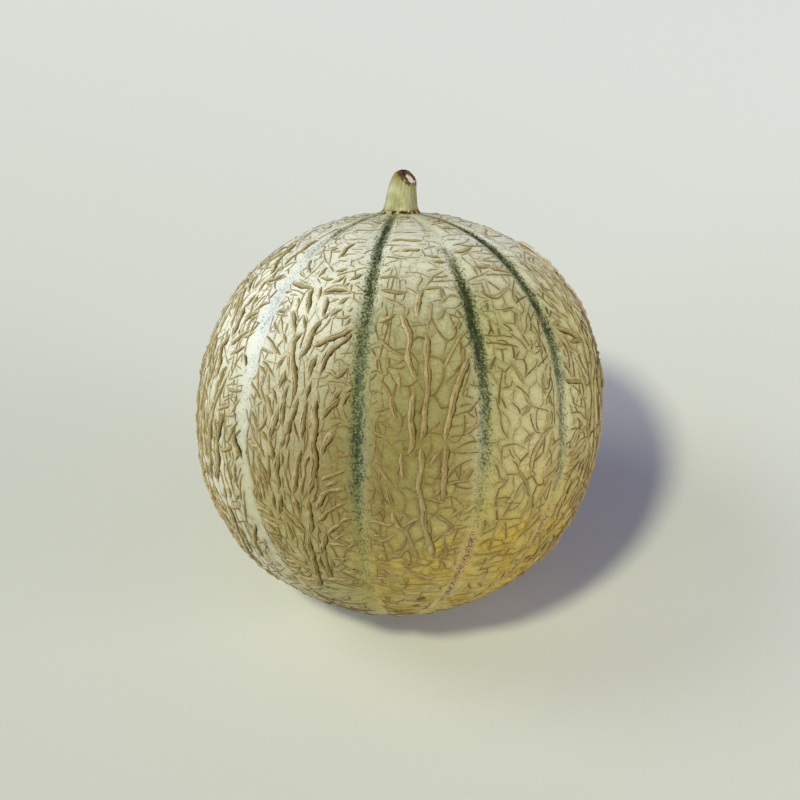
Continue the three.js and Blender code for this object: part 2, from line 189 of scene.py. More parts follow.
LEFT_RIDGES = {
    "thick": [
        [(333, 283), (340, 280), (347, 276)],
        [(322, 294), (329, 291), (337, 289), (344, 290), (351, 292)],
        [(338, 306), (342, 302), (350, 298)], [(314, 288), (311, 295), (309, 301), (308, 315)],
        [(328, 297), (326, 304), (325, 311), (323, 319)], [(294, 310), (294, 322), (295, 335)],
        [(304, 332), (299, 336), (294, 342), (292, 348), (290, 356), (289, 364), (290, 371)],
        [(296, 340), (294, 350), (293, 360), (294, 372), (295, 382), (294, 392), (292, 400)],
        [(323, 320), (317, 326), (313, 332), (310, 340), (306, 349), (299, 360)],
        [(287, 355), (283, 360), (279, 366), (277, 371)],
        [(286, 370), (284, 376), (282, 382), (280, 389)],
        [(289, 385), (286, 391), (284, 398), (282, 405)],
        [(318, 355), (314, 360), (311, 367), (309, 381)],
        [(312, 380), (309, 387), (307, 394), (306, 402)],
        [(352, 333), (345, 340), (338, 345), (331, 351), (326, 357), (321, 371), (320, 377)],
        [(355, 329), (347, 331), (340, 335), (332, 338), (318, 344), (311, 346)],
        [(330, 313), (326, 317), (322, 320)], [(343, 390), (337, 394), (334, 400), (332, 405)],
        [(286, 396), (284, 404), (282, 420), (283, 427)],
        [(279, 409), (276, 417), (274, 425), (271, 434), (272, 442)],
        [(299, 398), (295, 408), (292, 418), (286, 436), (280, 450)],
        [(280, 450), (278, 458), (277, 467), (279, 483), (279, 490)],
        [(269, 437), (271, 446), (273, 455), (274, 465)],
        [(258, 456), (262, 465), (266, 474), (269, 482), (272, 490)],
        [(308, 400), (306, 408), (304, 416), (302, 434), (302, 441)],
        [(302, 448), (300, 456), (298, 465), (296, 474), (294, 494)],
        [(317, 397), (315, 415), (316, 425), (313, 443), (315, 460), (313, 478), (309, 494)],
        [(341, 398), (334, 404), (327, 411), (321, 421)],
        [(337, 429), (331, 435), (327, 441), (324, 448), (322, 456)],
        [(294, 494), (297, 506), (301, 518)], [(309, 498), (309, 506), (311, 525), (311, 534)],
        [(310, 535), (310, 545), (313, 555), (318, 572), (321, 586)],
        [(281, 492), (281, 508), (279, 514)], [(272, 490), (273, 497), (274, 505), (277, 510)],
        [(345, 490), (336, 490), (328, 491), (323, 496), (320, 503), (317, 509)],
        [(326, 532), (325, 540), (323, 547), (322, 553)],
    ],
    "middle": [
        [(338, 259), (344, 254), (346, 250), (351, 247), (356, 244)],
        [(330, 253), (334, 250), (339, 249)], [(336, 272), (343, 271), (348, 269)],
        [(330, 288), (336, 287), (342, 286)], [(344, 287), (350, 283)],
        [(330, 303), (335, 300), (339, 300)], [(328, 268), (323, 273), (318, 278)],
        [(322, 287), (320, 293), (318, 301)], [(336, 308), (333, 312), (330, 316)],
        [(299, 298), (299, 305), (297, 311), (294, 315)], [(275, 322), (276, 328), (280, 334)],
        [(284, 333), (285, 338), (287, 344)], [(267, 336), (272, 343), (276, 349), (281, 355)],
        [(263, 361), (268, 367), (272, 373), (275, 378)], [(304, 315), (305, 322), (305, 330)],
        [(270, 372), (269, 380), (270, 389)], [(273, 388), (275, 396), (277, 404)],
        [(261, 382), (262, 390), (264, 398), (266, 405)], [(351, 319), (347, 324), (344, 326)],
        [(352, 316), (344, 318), (334, 318)], [(343, 310), (338, 311), (333, 315), (331, 318)],
        [(353, 309), (348, 312)], [(325, 372), (331, 372), (337, 377), (342, 373), (348, 368)],
        [(353, 387), (347, 391), (344, 393)], [(350, 393), (345, 399), (342, 405), (345, 409)],
        [(289, 430), (288, 440), (286, 450)], [(282, 452), (283, 460), (282, 466)],
        [(251, 431), (256, 440), (261, 449), (265, 457)],
        [(261, 467), (264, 476), (267, 485), (268, 492)], [(252, 410), (255, 417), (257, 427)],
        [(254, 458), (254, 466), (256, 473)], [(325, 487), (332, 483), (340, 480)],
        [(284, 511), (289, 517), (294, 523), (299, 528), (305, 532)],
        [(286, 519), (289, 527), (292, 534), (293, 541)],
        [(262, 517), (268, 520), (274, 524), (281, 527)],
        [(272, 536), (279, 540), (285, 545), (290, 550)], [(271, 541), (279, 548), (286, 553)],
        [(284, 562), (290, 567), (298, 570)], [(291, 573), (298, 579)], [(300, 580), (308, 584)],
        [(302, 566), (310, 572)], [(298, 558), (308, 561)],
        [(346, 502), (340, 505), (328, 512), (322, 518), (316, 522)],
        [(352, 518), (345, 519), (341, 523)], [(341, 525), (335, 527), (331, 530), (328, 534)],
        [(325, 548), (326, 556), (327, 564), (330, 572), (333, 577)],
        [(346, 534), (340, 536), (335, 540)], [(328, 543), (337, 544), (346, 545)],
        [(330, 557), (338, 558), (349, 559)], [(327, 578), (338, 578), (348, 579)],
    ],
    "thin": [
        [(357, 243), (366, 243)], [(323, 251), (330, 251)],
        [(324, 253), (326, 261), (330, 266), (334, 272)], [(344, 235), (350, 234), (358, 233)],
        [(352, 250), (363, 250)], [(338, 261), (347, 262)], [(352, 261), (351, 265)],
        [(349, 266), (355, 267)], [(318, 279), (321, 284)], [(288, 297), (290, 302), (293, 305)],
        [(288, 306), (289, 312)], [(291, 295), (298, 296)], [(291, 290), (300, 292), (305, 296)],
        [(300, 280), (308, 284)], [(276, 314), (282, 316), (288, 316)],
        [(288, 324), (286, 330), (286, 334)], [(318, 390), (319, 397), (320, 403)],
        [(341, 354), (352, 353)], [(333, 365), (336, 361), (341, 360), (345, 364), (350, 366)],
        [(313, 379), (321, 379)], [(350, 344), (356, 346)], [(249, 443), (253, 451)],
        [(264, 396), (266, 405), (266, 413)], [(257, 406), (262, 402)], [(343, 410), (347, 418)],
        [(330, 419), (337, 418), (344, 421)], [(335, 438), (341, 438), (343, 443)],
        [(327, 456), (334, 454), (340, 451), (344, 453)], [(309, 487), (306, 495), (303, 500)],
        [(285, 490), (286, 500)], [(260, 500), (267, 506)], [(262, 521), (267, 530), (270, 534)],
        [(270, 532), (283, 536)], [(277, 553), (286, 559)], [(288, 562), (296, 564)],
        [(331, 512), (333, 520), (334, 524)], [(337, 567), (342, 563), (346, 560)],
        [(343, 564), (348, 567)], [(345, 552), (352, 550)],
    ],
    "hair": [
        [(360, 228), (375, 228)], [(360, 234), (373, 233)], [(361, 237), (372, 238)],
        [(357, 256), (363, 255)], [(320, 469), (334, 469)],
    ],
}
MIDDLE_RIDGES = {
    "thick": [
        [(381, 290), (390, 292), (400, 293), (408, 293)],
        [(424, 290), (421, 293), (419, 298), (417, 310), (417, 318)],
        [(377, 323), (384, 321), (391, 318), (396, 315)],
        [(401, 314), (406, 326), (409, 333), (410, 341), (408, 357), (413, 372), (418, 381)],
        [(427, 333), (427, 358), (428, 382), (428, 392), (425, 412), (424, 428), (421, 442)],
        [(421, 448), (422, 468), (420, 477), (418, 485), (421, 498), (424, 512), (425, 527), (434, 557)],
        [(469, 358), (466, 365), (461, 376), (457, 387), (453, 400), (451, 412), (447, 428), (445, 443)],
        [(445, 443), (446, 450), (445, 466), (445, 475), (443, 488), (444, 502)],
        [(414, 390), (412, 405), (411, 420), (413, 443), (408, 455)],
        [(392, 396), (392, 404), (394, 411), (397, 420)],
        [(387, 487), (389, 495), (391, 502), (394, 508)],
        [(392, 512), (394, 520), (399, 526), (404, 530)],
    ],
    "middle": [
        [(401, 252), (410, 251), (418, 251), (420, 250)], [(422, 250), (423, 255), (426, 259)],
        [(425, 256), (430, 257), (436, 258), (441, 259)],
        [(444, 271), (438, 274), (433, 277), (427, 284), (426, 287)],
        [(378, 278), (386, 278), (394, 277), (400, 280)],
        [(406, 288), (411, 291), (416, 295), (420, 298)],
        [(423, 290), (430, 289), (438, 288), (442, 288)],
        [(440, 304), (444, 300), (448, 297), (453, 296), (459, 298)],
        [(447, 308), (443, 312), (441, 317), (438, 320)],
        [(384, 298), (390, 301), (398, 304), (406, 309)], [(383, 302), (381, 309)],
        [(409, 309), (407, 313), (406, 318)],
        [(431, 302), (431, 308), (430, 319), (428, 325), (429, 330)],
        [(463, 334), (459, 339), (456, 345), (450, 356), (444, 367)],
        [(460, 321), (456, 325), (453, 330)], [(468, 388), (466, 393), (464, 398)],
        [(379, 338), (384, 343), (390, 349), (397, 353), (404, 355)],
        [(390, 366), (396, 364), (405, 360)], [(399, 373), (399, 382), (400, 390)],
        [(380, 380), (385, 386), (389, 392), (392, 398)], [(387, 368), (387, 376)],
        [(375, 413), (380, 410), (390, 409)], [(378, 423), (386, 425), (392, 430)],
        [(372, 431), (378, 435), (386, 438)], [(384, 440), (389, 445), (394, 450), (398, 453)],
        [(377, 463), (381, 470), (386, 477), (391, 483), (394, 488)],
        [(386, 484), (388, 491), (391, 499)], [(402, 452), (401, 460), (402, 470), (403, 479)],
        [(477, 418), (478, 424), (474, 428), (469, 431), (466, 435)],
        [(441, 452), (436, 456), (433, 461), (430, 466)], [(472, 468), (467, 472), (463, 478)],
        [(448, 484), (455, 482), (462, 481), (469, 480)], [(442, 488), (437, 493), (434, 497)],
        [(424, 499), (430, 499), (437, 501), (443, 503)],
        [(429, 513), (437, 515), (442, 518), (448, 522), (455, 530)],
        [(420, 519), (414, 520), (409, 523), (403, 526), (400, 526)],
        [(401, 511), (405, 515), (412, 517)],
        [(405, 528), (408, 534), (411, 540), (413, 545), (419, 560)],
        [(386, 555), (394, 556), (401, 555), (404, 551), (412, 548)],
        [(430, 540), (434, 540), (438, 537), (441, 534), (448, 533), (454, 531)],
        [(448, 520), (456, 513), (461, 509), (470, 503)],
        [(444, 541), (446, 547), (446, 553), (443, 559)],
        [(403, 561), (408, 567), (412, 565), (417, 566)],
        [(412, 574), (420, 575), (428, 577), (434, 576)], [(376, 506), (382, 509), (387, 514)],
        [(369, 522), (375, 521), (381, 523), (388, 525), (394, 524)],
        [(373, 536), (379, 535), (383, 537)], [(378, 541), (383, 541), (389, 538), (395, 534)],
        [(385, 542), (392, 547)], [(377, 568), (383, 570), (389, 574)],
        [(371, 578), (380, 577), (389, 579), (400, 580)],
    ],
    "thin": [
        [(421, 231), (430, 232)], [(423, 240), (424, 237), (430, 237)],
        [(383, 246), (400, 246), (410, 246)], [(418, 245), (426, 245)],
        [(424, 250), (430, 248), (435, 247)], [(393, 255), (400, 257), (410, 258), (420, 258)],
        [(441, 253), (447, 254)], [(427, 262), (433, 265), (438, 269)], [(381, 266), (388, 266)],
        [(394, 266), (397, 273), (396, 277)], [(405, 273), (412, 273), (420, 274), (430, 278)],
        [(427, 272), (432, 270), (438, 270)], [(400, 281), (405, 280), (406, 285)],
        [(400, 281), (400, 290)], [(443, 287), (449, 289)], [(452, 288), (458, 287)],
        [(462, 304), (456, 308), (450, 309), (447, 308)], [(468, 332), (463, 337), (459, 342)],
        [(470, 385), (480, 387)], [(411, 327), (420, 326), (427, 325)], [(371, 349), (380, 347)],
        [(390, 368), (400, 369), (405, 367)], [(371, 373), (376, 371), (382, 374)],
        [(370, 391), (378, 392), (383, 394)], [(375, 325), (377, 333), (379, 340)],
        [(371, 405), (377, 402)], [(378, 416), (386, 416)],
        [(374, 426), (378, 422), (384, 422), (389, 418)], [(394, 444), (399, 441), (405, 441)],
        [(369, 446), (372, 444)], [(373, 453), (378, 455)], [(407, 448), (408, 456)],
        [(406, 462), (406, 478)], [(479, 400), (474, 406), (470, 411), (463, 413), (455, 416)],
        [(466, 435), (458, 436), (450, 437)], [(430, 433), (438, 434), (445, 434)],
        [(429, 432), (426, 436)], [(450, 452), (458, 453), (466, 453), (478, 452)],
        [(428, 476), (436, 478), (441, 479)], [(400, 488), (407, 488), (411, 491), (415, 492)],
        [(447, 498), (451, 496), (456, 499), (461, 504)], [(425, 536), (420, 539), (415, 542)],
        [(462, 512), (460, 516)], [(470, 516), (464, 520)], [(457, 529), (462, 528), (467, 526)],
        [(448, 546), (455, 544), (462, 541)], [(434, 557), (439, 558), (443, 559)],
        [(440, 560), (440, 566), (437, 569), (432, 568)],
        [(432, 560), (430, 563), (427, 565), (421, 564), (415, 562)],
        [(408, 568), (411, 571), (416, 572)], [(374, 497), (373, 503)], [(366, 509), (370, 511)],
        [(372, 551), (380, 550), (388, 552)], [(377, 557), (380, 560), (386, 560), (391, 559)],
        [(380, 563), (390, 565)], [(373, 582), (386, 583)],
    ],
    "hair": [
        [(390, 227), (400, 227), (410, 226), (422, 227)],
        [(392, 232), (402, 231), (412, 231), (420, 233)],
        [(389, 239), (397, 236), (412, 236), (419, 237)], [(388, 254), (392, 254)],
        [(412, 350), (420, 352)], [(450, 450), (462, 450), (475, 449)],
    ],
}
RIGHT_RIDGES = {
    "thick": [
        [(540, 434), (541, 440), (536, 449), (532, 461), (532, 468), (529, 473)],
        [(537, 500), (534, 507), (532, 513), (529, 519)],
    ],
    "middle": [
        [(473, 267), (482, 268), (490, 267)],
        [(480, 292), (486, 295), (490, 297), (494, 298), (500, 296), (509, 287)],
        [(516, 310), (519, 316), (519, 322), (522, 331)],
        [(511, 362), (514, 366), (517, 371), (521, 378), (524, 384)],
        [(543, 374), (543, 388), (545, 394)], [(525, 394), (528, 400), (531, 405)],
        [(531, 405), (528, 409), (521, 416)], [(547, 411), (547, 422)],
        [(551, 423), (547, 427), (543, 430)], [(534, 432), (530, 436), (523, 443)],
        [(552, 432), (551, 440), (549, 446), (546, 457)],
        [(557, 460), (553, 463), (549, 467), (543, 475)],
        [(518, 469), (521, 474), (524, 478), (527, 483), (529, 497)],
        [(525, 480), (522, 484), (517, 494), (513, 500)],
        [(560, 466), (555, 473), (550, 479), (543, 489), (537, 500)],
        [(529, 497), (528, 504), (522, 514), (521, 519)],
        [(540, 511), (535, 515), (531, 520), (523, 530)],
        [(483, 530), (486, 526), (490, 524), (500, 519)],
    ],
    "thin": [
        [(461, 256), (470, 253), (478, 252)], [(470, 260), (480, 259)], [(480, 264), (490, 266)],
        [(485, 273), (490, 271)], [(472, 285), (482, 284)], [(484, 302), (488, 301)],
        [(455, 240), (460, 240)], [(495, 310), (502, 310), (513, 308)], [(503, 312), (509, 311)],
        [(503, 324), (508, 327), (512, 331)], [(511, 334), (517, 339), (521, 341)],
        [(522, 335), (526, 341), (529, 346)], [(530, 340), (532, 345), (531, 350)],
        [(535, 347), (541, 347), (542, 354)], [(496, 349), (502, 350), (507, 349)],
        [(530, 322), (532, 317), (534, 312)], [(519, 351), (517, 356), (515, 361)],
        [(537, 360), (536, 365), (533, 369), (524, 378)], [(497, 366), (502, 370), (506, 373)],
        [(547, 364), (545, 370)], [(549, 373), (551, 380), (552, 386), (547, 398), (546, 405)],
        [(516, 386), (521, 389), (529, 397)], [(512, 381), (511, 386), (506, 388), (503, 388)],
        [(502, 398), (504, 404), (506, 408)], [(531, 406), (537, 408), (548, 411)],
        [(552, 412), (552, 418), (551, 424)], [(556, 411), (558, 416), (559, 420)],
        [(530, 414), (531, 420), (535, 431), (540, 433)], [(552, 427), (546, 431), (542, 434)],
        [(552, 445), (556, 441), (560, 438)], [(551, 456), (548, 461), (546, 466)],
        [(559, 453), (557, 458)], [(513, 461), (517, 464), (518, 469)],
        [(502, 447), (508, 445), (515, 444), (524, 448)], [(509, 449), (511, 454), (514, 458)],
        [(498, 489), (503, 486), (506, 482), (508, 478)], [(506, 475), (512, 474), (518, 475)],
        [(532, 470), (535, 474)], [(543, 478), (543, 484)],
        [(495, 499), (500, 498), (505, 497), (510, 498)], [(505, 503), (513, 503), (520, 503)],
        [(513, 500), (509, 506), (503, 516)], [(510, 519), (516, 518), (521, 518)],
        [(500, 519), (510, 519)], [(519, 524), (513, 526), (509, 528)],
        [(505, 522), (506, 530), (506, 538)], [(480, 545), (484, 541), (490, 539), (500, 540)],
        [(488, 550), (493, 547), (503, 544), (509, 543)], [(503, 547), (509, 546)],
        [(488, 560), (494, 556), (500, 553)], [(478, 570), (485, 568), (494, 565)],
        [(481, 574), (485, 571)], [(532, 531), (529, 536)], [(513, 557), (518, 554), (522, 552)],
    ],
}
FAR_RIGHT_RIDGES = {
    "middle": [
        [(474, 228), (482, 229), (489, 231), (496, 235)], [(491, 231), (500, 236)],
        [(530, 265), (536, 271), (541, 275), (551, 288), (558, 300)],
        [(535, 262), (541, 268), (547, 274), (557, 287), (562, 294)],
        [(558, 297), (563, 303), (566, 310), (568, 315)], [(570, 310), (574, 318), (578, 326)],
        [(561, 316), (566, 320), (571, 328), (581, 338), (585, 352), (588, 360)],
        [(562, 333), (567, 340), (571, 347), (576, 350), (580, 356)],
        [(588, 407), (588, 415), (587, 424), (587, 432), (588, 440)],
        [(589, 440), (589, 450), (588, 460), (582, 480), (580, 488)],
        [(585, 456), (580, 465), (577, 472)], [(585, 474), (581, 482), (579, 490), (569, 506)],
        [(580, 503), (575, 510), (572, 514)],
        [(593, 372), (594, 395), (594, 420), (593, 445), (590, 465)],
    ],
    "thin": [
        [(503, 245), (510, 244), (515, 246), (520, 250)], [(500, 247), (507, 250), (520, 254)],
        [(505, 258), (512, 257), (520, 259)], [(519, 263), (523, 266)], [(524, 252), (525, 262)],
        [(541, 266), (548, 271), (558, 283)], [(533, 281), (538, 285), (541, 284)],
        [(525, 270), (532, 274), (538, 277)],
        [(562, 297), (567, 304), (572, 311), (580, 328), (584, 336)],
        [(575, 312), (580, 321), (588, 340)], [(550, 303), (555, 308), (559, 313)],
        [(551, 312), (556, 316), (560, 318)], [(558, 320), (560, 323)],
        [(582, 345), (583, 352), (587, 368)], [(563, 350), (565, 357)],
        [(574, 358), (578, 364), (581, 370), (586, 382)],
        [(572, 385), (576, 389), (580, 393), (585, 404)],
        [(573, 397), (573, 403), (578, 406), (583, 407)],
        [(577, 418), (582, 424), (578, 428), (575, 430)],
        [(573, 448), (577, 444), (581, 439), (586, 437)], [(577, 476), (574, 483)],
        [(590, 478), (587, 486), (584, 494), (580, 502)], [(570, 505), (566, 512), (563, 519)],
        [(573, 507), (569, 513), (565, 519)], [(555, 530), (551, 535)], [(553, 523), (557, 518)],
        [(590, 350), (594, 370), (597, 410), (597, 430), (593, 468)],
    ],
}


# Shape of the fruit

def ramp(value, start, end):
    """0 before the start, 1 after the end, with a soft change between them."""
    share = np.clip((value - start) / (end - start), 0, 1)
    return share * share * (3 - 2 * share)


def bell(value, reach):
    return np.exp(-(value / reach) ** 2)


def direction(lon, colat):
    across = np.sin(colat)
    return np.stack([across * np.sin(lon), -across * np.cos(lon), np.cos(colat)], axis=-1)


def suture_turns(lon):
    """Turn from the nearest suture in radians, positive to its right, and that suture's number."""
    turns = (np.asarray(lon)[..., None] - SUTURES + np.pi) % (2 * np.pi) - np.pi
    nearest = np.abs(turns).argmin(axis=-1)
    return np.take_along_axis(turns, nearest[..., None], axis=-1)[..., 0], nearest


def suture_distance(lon, colat):
    turn, _ = suture_turns(lon)
    return np.abs(turn) * EQUATOR_RADIUS * np.sin(colat)


def rind_radius(lon, colat):
    """Distance in millimetres from the fruit's centre to the smooth rind."""
    lon, colat = np.asarray(lon, float), np.asarray(colat, float)
    polar = np.cos(colat)
    power = np.where(polar > 0, STEM_HALF_SQUARENESS, BLOSSOM_HALF_SQUARENESS)
    form = (np.sin(colat) / EQUATOR_RADIUS) ** power + (np.abs(polar) / HALF_HEIGHT) ** power
    swell = 0
    for swell_lon, swell_colat, reach, rise in SWELLS:
        summit = direction(math.radians(swell_lon), math.radians(swell_colat))
        away = np.degrees(np.arccos(np.clip(direction(lon, colat) @ summit, -1, 1)))
        swell = swell + rise * bell(away, reach)
    off = suture_distance(lon, colat)
    openness = np.clip(np.sin(colat), 0, 1)
    furrow = FURROW_DEPTH * bell(off, FURROW_REACH) * np.sqrt(openness)
    hollow = RIB_DEPTH * bell(off, RIB_REACH) * openness
    return form ** (-1 / power) + swell - furrow - hollow


def rind_point(lon, colat, lift=0):
    return direction(lon, colat) * (rind_radius(lon, colat) + lift)[..., None]


def polar_place(points):
    """Longitude and colatitude of points measured from the fruit's centre."""
    x, y, z = np.moveaxis(points, -1, 0)
    return np.arctan2(x, -y), np.arccos(np.clip(z / np.linalg.norm(points, axis=-1), -1, 1))


LOWEST = float(rind_radius(math.pi, math.pi - LEAN))
CENTRE_HEIGHT = LOWEST * math.cos(math.asin(REST_SPOT_RADIUS / LOWEST))
LEANING = np.array(Matrix.Rotation(-LEAN, 3, "X"))


def stand(points):
    """Points round the fruit's centre in millimetres, leaned back and set on the floor, in metres."""
    return (points @ LEANING.T + (0, 0, CENTRE_HEIGHT)) * MM


# Camera

def add_camera():
    data = bpy.data.cameras.new("camera")
    data.sensor_width = SENSOR
    data.lens = LENS
    data.shift_x, data.shift_y = SHIFT_X, SHIFT_Y
    camera = bpy.data.objects.new("camera", data)
    bpy.context.scene.collection.objects.link(camera)
    back = Vector((0, -math.cos(VIEW_ELEVATION), math.sin(VIEW_ELEVATION)))
    camera.location = Vector((0, 0, CENTRE_HEIGHT * MM)) + back * VIEW_DISTANCE * MM
    turn = (-back).to_track_quat("-Z", "Y").to_matrix() @ Matrix.Rotation(VIEW_ROLL, 3, "Z")
    camera.rotation_euler = turn.to_euler()
    bpy.context.scene.camera = camera
    return np.array(turn), np.array(camera.location) / MM


def on_fruit(pixels, camera):
    """Longitude and colatitude where the lines of sight through pixels of the picture meet the rind."""
    turn, eye = camera
    pixels = np.array(pixels, float)
    right = (pixels[:, 0] / PICTURE - 0.5 + SHIFT_X) * SENSOR / LENS
    up = (0.5 - pixels[:, 1] / PICTURE + SHIFT_Y) * SENSOR / LENS
    sight = np.stack([right, up, -np.ones_like(up)], axis=-1) @ turn.T @ LEANING
    sight /= np.linalg.norm(sight, axis=-1)[:, None]
    start = (eye - (0, 0, CENTRE_HEIGHT)) @ LEANING
    along = sight @ start
    radius = np.full(len(pixels), float(EQUATOR_RADIUS))
    for _ in range(SIGHT_ROUNDS):
        inside = np.maximum(along ** 2 - start @ start + radius ** 2, 0)
        lon, colat = polar_place(start + sight * (-along - np.sqrt(inside))[:, None])
        radius = rind_radius(lon, colat)
    return lon, colat


# Small tools for making pieces

TOP_INSET = 0.2


def deselect():
    bpy.ops.object.select_all(action="DESELECT")


def extruded_circle(sides, fill, levels, insets=0):
    """A closed upright column of unit radius, with levels one unit apart and its top face inset."""
    deselect()
    bpy.ops.mesh.primitive_circle_add(vertices=sides, radius=1, fill_type=fill)
    bpy.ops.object.mode_set(mode="EDIT")
    bpy.ops.mesh.select_all(action="SELECT")
    for _ in range(levels):
        bpy.ops.mesh.extrude_region_move(TRANSFORM_OT_translate={"value": (0, 0, 1)})
    for _ in range(insets):
        bpy.ops.mesh.inset(thickness=TOP_INSET, depth=0)
    bpy.ops.mesh.select_all(action="SELECT")
    bpy.ops.mesh.normals_make_consistent(inside=False)
    bpy.ops.object.mode_set(mode="OBJECT")
    return bpy.context.object


def vertex_places(obj):
    places = np.empty(len(obj.data.vertices) * 3, np.float32)
    obj.data.vertices.foreach_get("co", places)
    return places.reshape(-1, 3).astype(float)


def move_vertices(obj, places):
    obj.data.vertices.foreach_set("co", np.asarray(places, np.float32).ravel())
    obj.data.update()


def store(obj, **masks):
    """Keeps numbers for the finish on the piece's vertices."""
    for name, values in masks.items():
        layer = obj.data.attributes.new(name, "FLOAT", "POINT")
        layer.data.foreach_set("value", np.asarray(values, np.float32))


def finish_piece(obj, name, slot, material, *nodes):
    obj.name = name
    obj.data.name = name
    obj.data.materials.clear()
    obj.data.materials.append(material)
    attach(obj, "root")
    if nodes:
        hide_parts(*nodes)


def smooth(obj):
    deselect()
    obj.select_set(True)
    bpy.context.view_layer.objects.active = obj
    bpy.ops.object.shade_smooth()


# Drawing of the net

# Each front panel's drawing, with a scale for the bulk of its ridges, and the step along it in pixels
DRAWN_RIDGES = (
    (FAR_LEFT_RIDGES, 1.0),
    (LEFT_RIDGES, 1.0),
    (MIDDLE_RIDGES, 0.9),
    (RIGHT_RIDGES, 0.9),
    (FAR_RIGHT_RIDGES, 0.9),
)
DRAWN_STEP = 2.5
VIEW_FROM = np.array([0, -math.cos(VIEW_ELEVATION), math.sin(VIEW_ELEVATION)]) @ LEANING
Spot = namedtuple("Spot", "panel off colat drawn flow")
Growth = namedtuple("Growth", "heading length shortest size gap wander")


def on_ball(lon, colat):
    """A point of the plain ball that the drawing is measured on."""
    across = EQUATOR_RADIUS * math.sin(colat)
    return across * math.sin(lon), -across * math.cos(lon), EQUATOR_RADIUS * math.cos(colat)


def parallel_radius(colat):
    return EQUATOR_RADIUS * max(math.sin(colat), POLE_GUARD)


def can_hold_net(colat, point):
    """Whether a place is clear of both poles and of the floor."""
    floor_gap = CENTRE_HEIGHT + point[2] * math.cos(LEAN) - point[1] * math.sin(LEAN)
    return NET_FIRST_COLAT < colat < NET_LAST_COLAT and floor_gap >= FLOOR_CLEARANCE


def beside_suture(lon, colat):
    """The nearest suture's number and the way to it in millimetres, positive on its right."""
    turns = [(lon - suture + math.pi) % (2 * math.pi) - math.pi for suture in SUTURE_TURNS]
    nearest = min(range(len(turns)), key=lambda number: abs(turns[number]))
    return nearest, turns[nearest] * EQUATOR_RADIUS * math.sin(colat)


def panel_beside(suture, off):
    """The panel on that side of a suture: each has the number of the suture on its left."""
    return suture if off > 0 else (suture - 1) % len(SUTURES)


def bare_share(suture, colat):
    """How much of the strip stays bare: the one on the left narrows downward."""
    if suture not in BARE_SHARES:
        return 1
    above, below = BARE_SHARES[suture]
    return above + (below - above) * min(max((colat - NARROWS_FROM) / NARROWS_OVER, 0), 1)


def in_bare_strip(lon, colat, margin=0.0):
    """Whether a place is in the strip along a suture where no ridge grows."""
    suture, off = beside_suture(lon, colat)
    opening = SUTURE_NARROWEST + (1 - SUTURE_NARROWEST) * math.sin(colat)
    side = math.copysign(1, off)
    slow = math.sin(colat * SLOW_WAVES + suture * 2 + side)
    fast = math.sin(colat * FAST_WAVES + suture + 2 * side)
    ragged = 1 + EDGE_WAVE * slow + EDGE_WAVE * fast
    return abs(off) < SUTURE_HALF_WIDTH * bare_share(suture, colat) * opening * ragged + margin


class NetDrawing:
    """The ridges drawn so far, with a grid of their points to find what is near."""

    CELL = 3.0

    def __init__(self):
        self.ridges = []
        self.grid = {}

    def key(self, point):
        return tuple(int(math.floor(value / self.CELL)) for value in point)

    def near(self, point, gap):
        """Whether some ridge runs nearer to the point than the gap, which is at most one cell."""
        i, j, k = self.key(point)
        x, y, z = point
        limit = gap * gap
        for a in (i - 1, i, i + 1):
            for b in (j - 1, j, j + 1):
                for c in (k - 1, k, k + 1):
                    for p, q, r in self.grid.get((a, b, c), ()):
                        if (p - x) ** 2 + (q - y) ** 2 + (r - z) ** 2 < limit:
                            return True
        return False

    def add(self, places, size, scale):
        """places is a list of longitudes and colatitudes."""
        self.ridges.append((places, size, scale))
        for place in places:
            point = on_ball(*place)
            self.grid.setdefault(self.key(point), []).append(point)


def grow(drawing, draw, place, heading, length, gap, wander):
    """Walks over the rind from a free place until another ridge, a suture or its length ends the walk."""
    lon, colat = place
    walked = [place]
    if drawing.near(on_ball(lon, colat), gap):
        return []
    for _ in range(int(length / STROKE_STEP)):
        heading += draw.gauss(0, wander)
        colat += STROKE_STEP * math.cos(heading) / EQUATOR_RADIUS
        lon += STROKE_STEP * math.sin(heading) / parallel_radius(colat)
        point = on_ball(lon, colat)
        if not can_hold_net(colat, point) or in_bare_strip(lon, colat):
            break
        walked.append((lon, colat))
        if drawing.near(point, gap * TOUCH_SHARE):
            break
    return walked


def flow_finder(drawing):
    """A function that gives the heading, in degrees, of the drawn ridge that is nearest to a point."""
    tree = KDTree(sum(len(places) - 1 for places, _, _ in drawing.ridges))
    headings = []
    for places, _, _ in drawing.ridges:
        for (lon, colat), (next_lon, next_colat) in zip(places, places[1:]):
            tree.insert(on_ball(lon, colat), len(headings))
            east = (next_lon - lon) * math.sin(colat)
            headings.append(math.degrees(math.atan2(east, next_colat - colat)))
    tree.balance()
    return lambda point: headings[tree.find(point)[1]]


